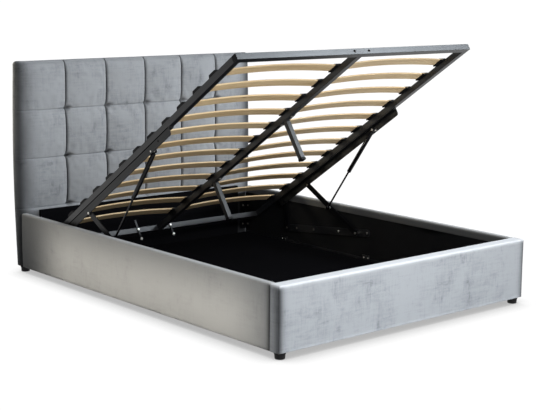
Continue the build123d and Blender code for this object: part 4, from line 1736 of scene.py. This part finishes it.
@dataclass
class BoltHead:
    """Six-sided or domed head on a thin washer.

    Attributes:
        across: Width over the washer.
        height: Height over its seat.
        domed: Whether it is a dome with a socket.
        washer: Thickness of the washer, as a share of the height.
        steps: Heights of the dome's rings, as shares of the height.
    """

    across: float
    height: float
    domed: bool = False
    washer: float = 0.26
    steps: tuple[float, ...] = (0.26, 0.45, 0.65, 0.82, 0.94)

    def build(self, name: str, centre: Vector, way: Vector) -> Piece:
        """Makes the head.

        Args:
            name: Name of the piece.
            centre: Middle of its seat.
            way: Direction in which it stands up.

        Returns:
            The new object.
        """
        radius, height = self.across / 2, self.height
        washer = [(0.0, radius), (0.22 * height, radius), (self.washer * height, 0.97 * radius)]
        if self.domed:
            turns = [0.5 * math.pi * ((step - self.washer) / (1 - self.washer)) ** 1.6 for step in self.steps]
            crown = [(height * step, 0.86 * radius * math.cos(turn)) for step, turn in zip(self.steps, turns)]
            socket = [(height, 0.3 * radius), (0.6 * height, 0.28 * radius)]
            return turned_form(name, washer + crown + socket, centre, way, 24)
        disc = turned_form(f"{name}_washer", washer, centre, way, 24)
        hexagon = [(0.2 * height, 0.84 * radius), (0.9 * height, 0.84 * radius), (height, 0.74 * radius)]
        head = turned_form(f"{name}_head", hexagon, centre, way, 6)
        for face in head.data.polygons:
            face.use_smooth = False
        return joined(name, [disc, head])


@dataclass
class Fasteners:
    """Every bolt head of one node.

    Attributes:
        node: The node.
        body: The body that they move with.
        place: Frame in which their axes lie straight.
        domed: Whether they are domed.
        finish: Their finish.
    """

    node: str
    body: str
    place: Matrix
    domed: bool = False
    finish: Finish = ZINC

    def build(self) -> Piece:
        """Makes the heads where the node has them, standing away from what they hold.

        Returns:
            The new object.
        """
        heads = []
        turn = self.place.to_3x3()
        for number, (low, high) in enumerate(islands(self.node, self.place.inverted())):
            size = high - low
            thin = int(np.argmin(size))
            middle = (low + high) / 2
            way = Vector((0.0, 0.0, 0.0))
            way[thin] = self.outward(thin, middle)
            seat = Vector(middle)
            seat[thin] = low[thin] if way[thin] > 0 else high[thin]
            across = float(np.delete(size, thin).mean())
            bolt = BoltHead(across, float(size[thin]), self.domed)
            heads.append(bolt.build(f"{self.node}_{number}", self.place @ seat, turn @ way))
        piece = joined(f"{self.node}_heads", heads)
        dress(piece, self.body, self.finish, [self.node])
        return piece

    def outward(self, thin: int, middle: np.ndarray) -> float:
        """Finds which way a head stands up along its axis.

        Args:
            thin: Number of its axis.
            middle: Middle of the head.

        Returns:
            Sign of the direction.
        """
        if thin == Axis.X.value:
            on_deck = self.body == "platform"
            return math.copysign(1.0, middle[0]) * (1.0 if on_deck else -1.0)
        if thin == Axis.Y.value:
            return 1.0 if self.body == "base" and middle[1] < 0 else -1.0
        return -1.0


@dataclass
class HardParts:
    """Solid pieces that keep their shape and get broken edges and a finish."""

    body: str
    finish: Finish
    slot: str
    nodes: tuple[str, ...]
    edge: float = 0.8 * MM

    def build(self) -> None:
        """Makes every piece of the list."""
        for node in self.nodes:
            piece = softened(node, f"{node}_finished", self.edge)
            dress(piece, self.body, self.finish, [node])


@dataclass
class BarGap:
    """Painted shadow in the seam between a side tube and the lift bar under it: a thin matt black strip in its
    mouth.

    Attributes:
        side: Side of the bed.
        height: Height of the gap.
        depth: How far the strip reaches in from the outer face.
        ends: Parts of the bar's length that the strip leaves free at its ends.
        edge: Rounding of its edges.
        pitch: Largest grid gap along each axis.
    """

    side: Side
    height: float = 0.0046
    depth: float = 0.003
    ends: tuple[float, float] = (0.004, 0.012)
    edge: Point = (0.0002, 0.0002, 0.0002)
    pitch: Point = (0.002, 0.06, 0.002)
    body: str = "platform"

    def build(self) -> Piece:
        """Makes the strip along the seam of the two.

        Returns:
            The new object.
        """
        low, high = islands(f"{self.side.label}_lift_bar", DECK.inverted())[0]
        outer = low[0] - SKIN_GAP if self.side is Side.LEFT else high[0] + SKIN_GAP - self.depth
        start = (outer, low[1] + self.ends[0], high[2] - self.height / 2)
        stop = (outer + self.depth, high[1] - self.ends[1], high[2] + self.height / 2)
        shell = Shell(start, stop, self.edge, self.edge, self.pitch)
        piece = shell.piece(f"{self.side.label}_bar_gap")
        piece.data.transform(DECK)
        dress(piece, self.body, PAINTED_SEAM_SHADOW, [])
        return piece


@dataclass
class SlatColumn:
    """Bowed laths of one column, rounded along their edges.

    Attributes:
        side: Side of the bed.
        thickness: Thickness of a slat.
        width: Width of a slat.
        edge: Rounding of its edges.
        end_share: Size of its ends against its section.
        stations: Faces along a slat.
        quarter_steps: Faces round a quarter of an edge.
    """

    side: Side
    thickness: float = 0.008
    width: float = 0.053
    edge: float = 0.0026
    end_share: float = 0.97
    stations: int = 28
    quarter_steps: int = 4
    body: str = "platform"

    def section(self) -> list[tuple[float, float]]:
        """Makes the rounded rectangle across a slat.

        Returns:
            (along the bed, up) pairs.
        """
        y, z = self.width / 2 - self.edge, self.thickness / 2 - self.edge
        ring = []
        for quarter, (along, up) in enumerate(((y, z), (-y, z), (-y, -z), (y, -z))):
            for step in range(self.quarter_steps + 1):
                angle = (quarter + step / self.quarter_steps) * math.pi / 2
                ring.append((along + self.edge * math.cos(angle), up + self.edge * math.sin(angle)))
        return ring

    def build(self) -> Piece:
        """Makes the column's slats as one piece.

        Returns:
            The new object.
        """
        ring = self.section()
        points: list[Vector] = []
        faces: list[tuple[int, ...]] = []
        for low, high in islands(f"{self.side.label}_slats", DECK.inverted()):
            rise = high[2] - low[2] - self.thickness
            middle_y, start = (low[1] + high[1]) / 2, len(points)
            half, middle_x = (high[0] - low[0]) / 2, (low[0] + high[0]) / 2
            bow = (half**2 + rise**2) / (2 * rise)
            for station in range(self.stations + 1):
                x = low[0] + (high[0] - low[0]) * station / self.stations
                lift = math.sqrt(bow**2 - (x - middle_x) ** 2) - (bow - rise)
                shrink = self.end_share if station in (0, self.stations) else 1.0
                middle_z = low[2] + self.thickness / 2 + lift
                points += [DECK @ Vector((x, middle_y + y * shrink, middle_z + z * shrink)) for y, z in ring]
            count = len(ring)
            for station in range(self.stations):
                a, b = start + station * count, start + (station + 1) * count
                faces.extend((a + n, b + n, b + (n + 1) % count, a + (n + 1) % count) for n in range(count))
            last = start + self.stations * count
            faces.append(tuple(range(start, start + count)))
            faces.append(tuple(reversed(range(last, last + count))))
        piece = quad_piece(f"{self.side.label}_slats_bowed", np.array([tuple(p) for p in points]), faces)
        weighted(piece)
        dress(piece, self.body, BIRCH, [f"{self.side.label}_slats"])
        return piece


@dataclass
class GasStrut:
    """Gas strut of one side: crimped cylinder, rod, and their eyes.

    Attributes:
        side: Side of the bed.
        length: Distance between the two pivots.
        barrel: Radius of the cylinder.
        barrel_span: Start and end of the cylinder, from the top pivot.
        neck: Radius of the pin between eye and cylinder, and of its collar.
        rod: Radius of the rod.
        eye: Radius of an eye.
        eye_width: Width of an eye.
        bore: Radius of the hole in the upper eye.
        bolt: Width and height of the bolt's head in the lower eye.
    """

    side: Side
    length: float = STRUT_LENGTH
    barrel: float = 0.011
    barrel_span: tuple[float, float] = (0.016, 0.306)
    neck: tuple[float, float] = (0.004, 0.0062)
    rod: float = 0.005
    eye: float = 0.010
    eye_width: float = 0.012
    bore: float = 0.00408
    bolt: tuple[float, float] = (0.013, 0.0045)

    def line(self) -> tuple[Vector, Vector]:
        """Finds the line of the strut.

        Returns:
            Its top pivot and its direction.
        """
        angle = math.radians(STRUT_ANGLE)
        top = Vector((self.side.value * STRUT_X, *STRUT_TOP))
        return top, Vector((0.0, math.cos(angle), math.sin(angle)))

    def ring(self, name: str, centre: Vector, hole: float) -> Piece:
        """Makes a round eye with its hole across the strut.

        Args:
            name: Name of the piece.
            centre: Middle of the eye.
            hole: Radius of its hole.

        Returns:
            The new object.
        """
        across = Vector((1.0, 0.0, 0.0))
        half = self.eye_width / 2
        profile = [
            (-half, hole),
            (-half, self.eye - 0.001),
            (-half + 0.001, self.eye),
            (half - 0.001, self.eye),
            (half, self.eye - 0.001),
            (half, hole),
        ]
        return turned_form(name, profile, centre, across, 32)

    def build(self) -> None:
        """Makes the cylinder and the rod as two pieces."""
        top, way = self.line()
        start, end = self.barrel_span
        r, (pin, collar) = self.barrel, self.neck
        barrel = [
            (0.006, pin),
            (start - 0.003, pin),
            (start - 0.003, collar),
            (start, collar),
            (start, r - 0.002),
            (start + 0.002, r),
            (end - 0.020, r),
            (end - 0.018, r - 0.0008),
            (end - 0.014, r - 0.0008),
            (end - 0.012, r),
            (end - 0.003, r),
            (end, r - 0.003),
            (end, self.rod + 0.0003),
        ]
        body = turned_form("barrel", barrel, top, way, 32)
        cylinder = joined(f"{self.side.label}_strut_barrel", [body, self.ring("barrel_eye", top, self.bore)])
        dress(cylinder, "strut_cylinders", STRUT_BLACK, [f"{self.side.label}_strut_cylinder"])
        rod_profile = [(end - 0.05, self.rod), (self.length - 0.022, self.rod)]
        rod = turned_form("rod", rod_profile, top, way, 24)
        socket_profile = [
            (self.length - 0.026, 0.0055),
            (self.length - 0.024, 0.0068),
            (self.length - 0.008, 0.0068),
            (self.length - 0.006, 0.006),
        ]
        socket = turned_form("rod_socket", socket_profile, top, way, 24)
        foot = top + way * self.length
        eye = self.ring("rod_eye", foot, 0.0)
        seat = foot - Vector((self.side.value * self.eye_width / 2, 0.0, 0.0))
        bolt = BoltHead(*self.bolt).build("rod_bolt", seat, Vector((-self.side.value, 0.0, 0.0)))
        piece = joined(f"{self.side.label}_strut_rod_and_eye", [rod, socket, eye, bolt])
        dress(piece, "strut_rods", ROD_STEEL, [f"{self.side.label}_strut_rod"])


@dataclass
class BedFeet:
    """Round moulded feet with a rolled lower edge.

    Attributes:
        roll: Rounding of the lower edge.
        inset: How much smaller the radius of the lower edge is.
        roll_angles: Angles of the rings round the lower edge.
        collar: Height of the collar, and how much smaller the radius below it is.
        sides: Faces round a foot.
    """

    roll: float = 0.004
    inset: float = 0.0035
    roll_angles: tuple[float, ...] = (0.0, 0.5, 1.0, math.pi / 2)
    collar: tuple[float, float] = (0.007, 0.002)
    sides: int = 40
    body: str = "base"

    def build(self) -> Piece:
        """Makes the four feet as one piece.

        Returns:
            The new object.
        """
        feet = []
        for number, (low, high) in enumerate(islands("bed_feet", UPRIGHT)):
            radius, height = (high[0] - low[0]) / 2, high[2] - low[2]
            core = radius - self.inset - self.roll
            roll = [(self.roll * (1 - math.cos(a)), core + self.roll * math.sin(a)) for a in self.roll_angles]
            collar, narrower = self.collar
            top = [(height - collar, radius - narrower), (height - collar + MM, radius), (height, radius)]
            centre = Vector(((low[0] + high[0]) / 2, (low[1] + high[1]) / 2, low[2]))
            up = Vector((0.0, 0.0, 1.0))
            feet.append(turned_form(f"foot_{number}", [*roll, *top], centre, up, self.sides))
        piece = joined("bed_feet_moulded", feet)
        dress(piece, self.body, BLACK_PLASTIC, ["bed_feet"])
        return piece


# -------- studio


@dataclass(frozen=True)
class Softbox:
    """Flat studio lamp that looks at a place.

    Attributes:
        name: Name of the lamp.
        place: Where it stands.
        target: Where it looks.
        size: Its width and its height.
        power: Its power in watts.
        colour: Colour of its light.
        spread: Angle of its beam, in degrees.
    """

    name: str
    place: Point
    target: Point
    size: tuple[float, float]
    power: float
    colour: Colour
    spread: float = 180.0

    def build(self) -> None:
        """Adds the lamp, unseen by the camera."""
        data = bpy.data.lights.new(self.name, "AREA")
        data.shape, data.size, data.size_y = "RECTANGLE", *self.size
        data.energy, data.color, data.spread = self.power, self.colour, math.radians(self.spread)
        lamp = bpy.data.objects.new(self.name, data)
        bpy.context.scene.collection.objects.link(lamp)
        back = (Vector(self.place) - Vector(self.target)).normalized()
        lamp.matrix_world = Matrix.Translation(self.place) @ back.to_track_quat("Z", "Y").to_matrix().to_4x4()
        lamp.visible_camera = False


@dataclass
class Studio:
    """White floor and surroundings, softboxes, and the camera.

    Attributes:
        image_width: Width of the picture, in pixels.
        focal_pixels: Distance of the picture plane, in pixels.
        eye: Place of the camera.
        yaw: Angle of its view to the length of the bed, in degrees.
        pitch: Angle of its view below the level.
        roll: Angle of its tilt.
        ambient: Strength of the surroundings as a light.
        ambient_colour: Colour of that light.
        white: Strength of the surroundings as the camera sees them.
        floor_half: Half width of the floor.
        floor_bounce: How light the floor is as a reflector.
        floor_glare: How bright the floor is in a reflection.
        floor_shade: Brightness of the floor in the deepest shadow and in the open.
        shadow_reach: How far the shadow reaches.
        lamps: The softboxes.
    """

    image_width: int = 537
    focal_pixels: float = 1293.08
    eye: Point = (-4.14543, -4.93003, 1.55573)
    yaw: float = 40.49
    pitch: float = 9.98
    roll: float = 0.48
    ambient: float = 0.16
    ambient_colour: Colour = (1.0, 0.985, 0.96)
    white: float = 1.05
    floor_half: float = 60.0
    floor_bounce: float = 0.8
    floor_glare: float = 0.9
    floor_shade: tuple[float, float] = (0.45, 1.04)
    shadow_reach: float = 0.16
    lamps: tuple[Softbox, ...] = (
        Softbox("key_lamp", (3.1, -2.9, 4.2), (0.0, -1.2, 1.1), (2.2, 1.6), 15.0, (0.84, 0.92, 1.0), 50.0),
        Softbox("front_lamp", (-0.4, -3.6, 2.5), (-0.2, -0.9, 0.3), (2.0, 1.1), 110.0, (0.94, 0.97, 1.0)),
        Softbox("floor_lamp", (0.1, -2.5, 0.02), (0.1, -2.4, 1.0), (2.4, 0.8), 16.0, (1.0, 0.98, 0.94)),
        Softbox("right_lamp", (4.3, -1.2, 1.5), (0.0, 1.0, 0.7), (0.9, 0.9), 45.0, (0.9, 0.95, 1.0), 100.0),
        Softbox(
            "side_lamp", (-1.55, -0.08, 0.13), (-0.785, -0.08, 0.13), (1.65, 0.2), 1.35, (1.0, 0.94, 0.84), 40.0
        ),
        Softbox(
            "head_side_lamp", (-3.2, 1.8, 1.35), (-0.785, 1.05, 0.95), (0.4, 0.4), 2.0, (1.0, 0.92, 0.74), 30.0
        ),
    )

    def camera(self) -> None:
        """Places the camera where the photograph was taken from."""
        data = bpy.data.cameras.new("camera")
        data.sensor_fit, data.sensor_width = "HORIZONTAL", 36.0
        data.lens = self.focal_pixels / self.image_width * data.sensor_width
        data.clip_end = 200.0
        yaw, pitch, roll = (math.radians(a) for a in (self.yaw, self.pitch, self.roll))
        ahead = Vector((math.sin(yaw), math.cos(yaw), 0.0))
        forward = math.cos(pitch) * ahead - math.sin(pitch) * Vector((0.0, 0.0, 1.0))
        level = Vector((math.cos(yaw), -math.sin(yaw), 0.0))
        above = level.cross(forward)
        right = math.cos(roll) * level + math.sin(roll) * above
        up = math.cos(roll) * above - math.sin(roll) * level
        turn = Matrix((right, up, -forward)).transposed().to_4x4()
        camera = bpy.data.objects.new("camera", data)
        bpy.context.scene.collection.objects.link(camera)
        camera.matrix_world = Matrix.Translation(self.eye) @ turn
        bpy.context.scene.camera = camera

    def surroundings(self) -> None:
        """World that is pure white to the camera and dimmer as a light."""
        world = bpy.data.worlds.new("surroundings")
        world.use_nodes = True
        graph = Graph(world.node_tree)
        shade = world.node_tree.nodes["Background"]
        shade.inputs["Color"].default_value = (*self.ambient_colour, 1.0)
        shade.inputs["Strength"].default_value = self.ambient
        seen = graph.add("Background", None, Color=(1.0, 1.0, 1.0, 1.0), Strength=self.white)
        mixed = graph.either(graph.add("LightPath").outputs["Is Camera Ray"], shade, seen)
        graph.put(world.node_tree.nodes["World Output"], "Surface", mixed.outputs[0])
        bpy.context.scene.world = world
        view = bpy.context.scene.view_settings
        view.view_transform, view.look = "Standard", "None"

    def floor(self) -> None:
        """Wide floor, white to the camera with a soft shadow close to the bed, and grey as a reflector."""
        corners = np.array([(-1.0, -1.0, 0.0), (1.0, -1.0, 0.0), (1.0, 1.0, 0.0), (-1.0, 1.0, 0.0)])
        floor = quad_piece("studio_floor", corners * self.floor_half, [(0, 1, 2, 3)])
        material = bpy.data.materials.new("studio_floor")
        material.use_nodes = True
        graph = Graph(material.node_tree)
        shader = material.node_tree.nodes["Principled BSDF"]
        shader.inputs["Base Color"].default_value = (*[self.floor_bounce] * 3, 1.0)
        shader.inputs["Roughness"].default_value = 0.9
        shader.inputs["Specular IOR Level"].default_value = 0.0
        near = graph.add("AmbientOcclusion", {"samples": 8}, Distance=self.shadow_reach)
        shadow = graph.ramp(near.outputs["AO"], 0.1, 1.0, self.floor_shade)
        white = graph.add("Emission", None, Strength=shadow)
        rays = graph.add("LightPath")
        mirrored = graph.add("Emission", None, Strength=self.floor_glare)
        seen = graph.math("MAXIMUM", rays.outputs["Is Camera Ray"], rays.outputs["Is Glossy Ray"])
        bright = graph.either(rays.outputs["Is Glossy Ray"], white, mirrored)
        mixed = graph.either(seen, shader, bright)
        graph.put(material.node_tree.nodes["Material Output"], "Surface", mixed.outputs[0])
        floor.data.materials.append(material)

    def build(self) -> None:
        """Sets the whole stage."""
        self.camera()
        self.surroundings()
        self.floor()
        for lamp in self.lamps:
            lamp.build()


@dataclass
class Bed:
    """The whole bed by its sub-assemblies.

    Attributes:
        black: Finish and slot of the painted steel.
        satin: Finish and slot of the duller painted steel.
        plastic: Finish and slot of the plastic parts.
        zinc: Finish and slot of the plated steel.
        hard: Pieces that keep the shape of their nodes.
    """

    black: tuple[Finish, str] = (POWDER_COAT, "black_steel")
    satin: tuple[Finish, str] = (STRUT_BLACK, "black_steel")
    plastic: tuple[Finish, str] = (BLACK_PLASTIC, "black_plastic")
    zinc: tuple[Finish, str] = (ZINC, "zinc_steel")
    hard: list[HardParts] = field(default_factory=list)

    def box(self) -> None:
        """Upholstered box and what it holds."""
        Headboard().build()
        for side in Side:
            SideRail(side).build()
        FootPanel().build()
        Lining().build()
        BedFeet().build()
        panels = ("head_inner_panel", "left_floor_panel", "right_floor_panel")
        boards = ("headboard_board", "left_rail_board", "right_rail_board", "foot_panel_board")
        beams = ("foot_panel_battens", "floor_cross_beams", "floor_centre_beam")
        self.hard += [
            HardParts("base", BLACK_CLOTH, "black_cloth", ("headboard_back_cloth",), 0.6 * MM),
            HardParts("base", BLACK_PANEL, "black_panel", panels, 0.8 * MM),
            HardParts("base", CHIPBOARD, "chipboard", boards, 0.8 * MM),
            HardParts("base", PINE, "pine", beams, 1.5 * MM),
            HardParts("base", *self.plastic, ("floor_beam_feet",), 1.5 * MM),
            HardParts("base", *self.black, ("floor_beam_brackets", "floor_runners"), 0.6 * MM),
            HardParts("base", *self.satin, ("corner_brackets",), 0.6 * MM),
            HardParts("base", *self.black, ("left_base_bar", "right_base_bar"), 0.9 * MM),
            HardParts("base", *self.zinc, ("front_arm_base_pins", "rear_arm_base_pins"), 0.6 * MM),
        ]
        for node in ("floor_bracket_bolts", "corner_bolts"):
            Fasteners(node, "base", UPRIGHT).build()
        Fasteners("base_bar_screws", "base", UPRIGHT, True).build()

    def lift(self) -> None:
        """Arms and gas struts of both sides."""
        for side in Side:
            GasStrut(side).build()
        self.hard += [
            HardParts("front_arms", *self.satin, ("left_front_arm", "right_front_arm"), 0.9 * MM),
            HardParts("front_arms", *self.zinc, ("strut_foot_studs",), 0.6 * MM),
            HardParts("rear_arms", *self.satin, ("left_rear_arm", "right_rear_arm"), 0.9 * MM),
        ]

    def deck(self) -> None:
        """Slat frame with its slats, legs and lift bars."""
        for side in Side:
            SlatColumn(side).build()
            BarGap(side).build()
        tubes = ("left_side_tube", "right_side_tube", "centre_tube", "foot_end_tube", "head_end_tube")
        holders = ("left_slat_holders", "right_slat_holders", "centre_slat_holders")
        self.hard += [
            HardParts("platform", *self.black, tubes, 3.0 * MM),
            HardParts("platform", *self.black, ("front_centre_leg", "rear_centre_leg"), 1.2 * MM),
            HardParts("platform", LIFT_BLACK, "black_steel", ("left_lift_bar", "right_lift_bar"), 1.9 * MM),
            HardParts("platform", *self.plastic, ("tube_end_plugs", "leg_end_caps"), 1.2 * MM),
            HardParts("platform", *self.plastic, holders, 1.2 * MM),
            HardParts("platform", *self.zinc, ("front_pivot_pins", "strut_pivot_pins"), 0.6 * MM),
            HardParts("platform", *self.satin, ("head_end_bars",), 0.6 * MM),
        ]
        Fasteners("leg_bolts", "platform", DECK).build()
        Fasteners("lift_bar_bolts", "platform", DECK, False, STRUT_BLACK).build()
        Fasteners("head_end_bar_bolts", "platform", DECK).build()
        Fasteners("foot_end_bolts", "platform", DECK, True, BLACK_ZINC).build()

    def build(self) -> None:
        """Builds every piece."""
        self.box()
        self.lift()
        self.deck()
        for parts in self.hard:
            parts.build()


def main() -> None:
    logging.basicConfig(level=logging.INFO, format="%(name)s %(message)s")
    Bed().build()
    Studio().build()


if __name__ == "__main__":
    main()
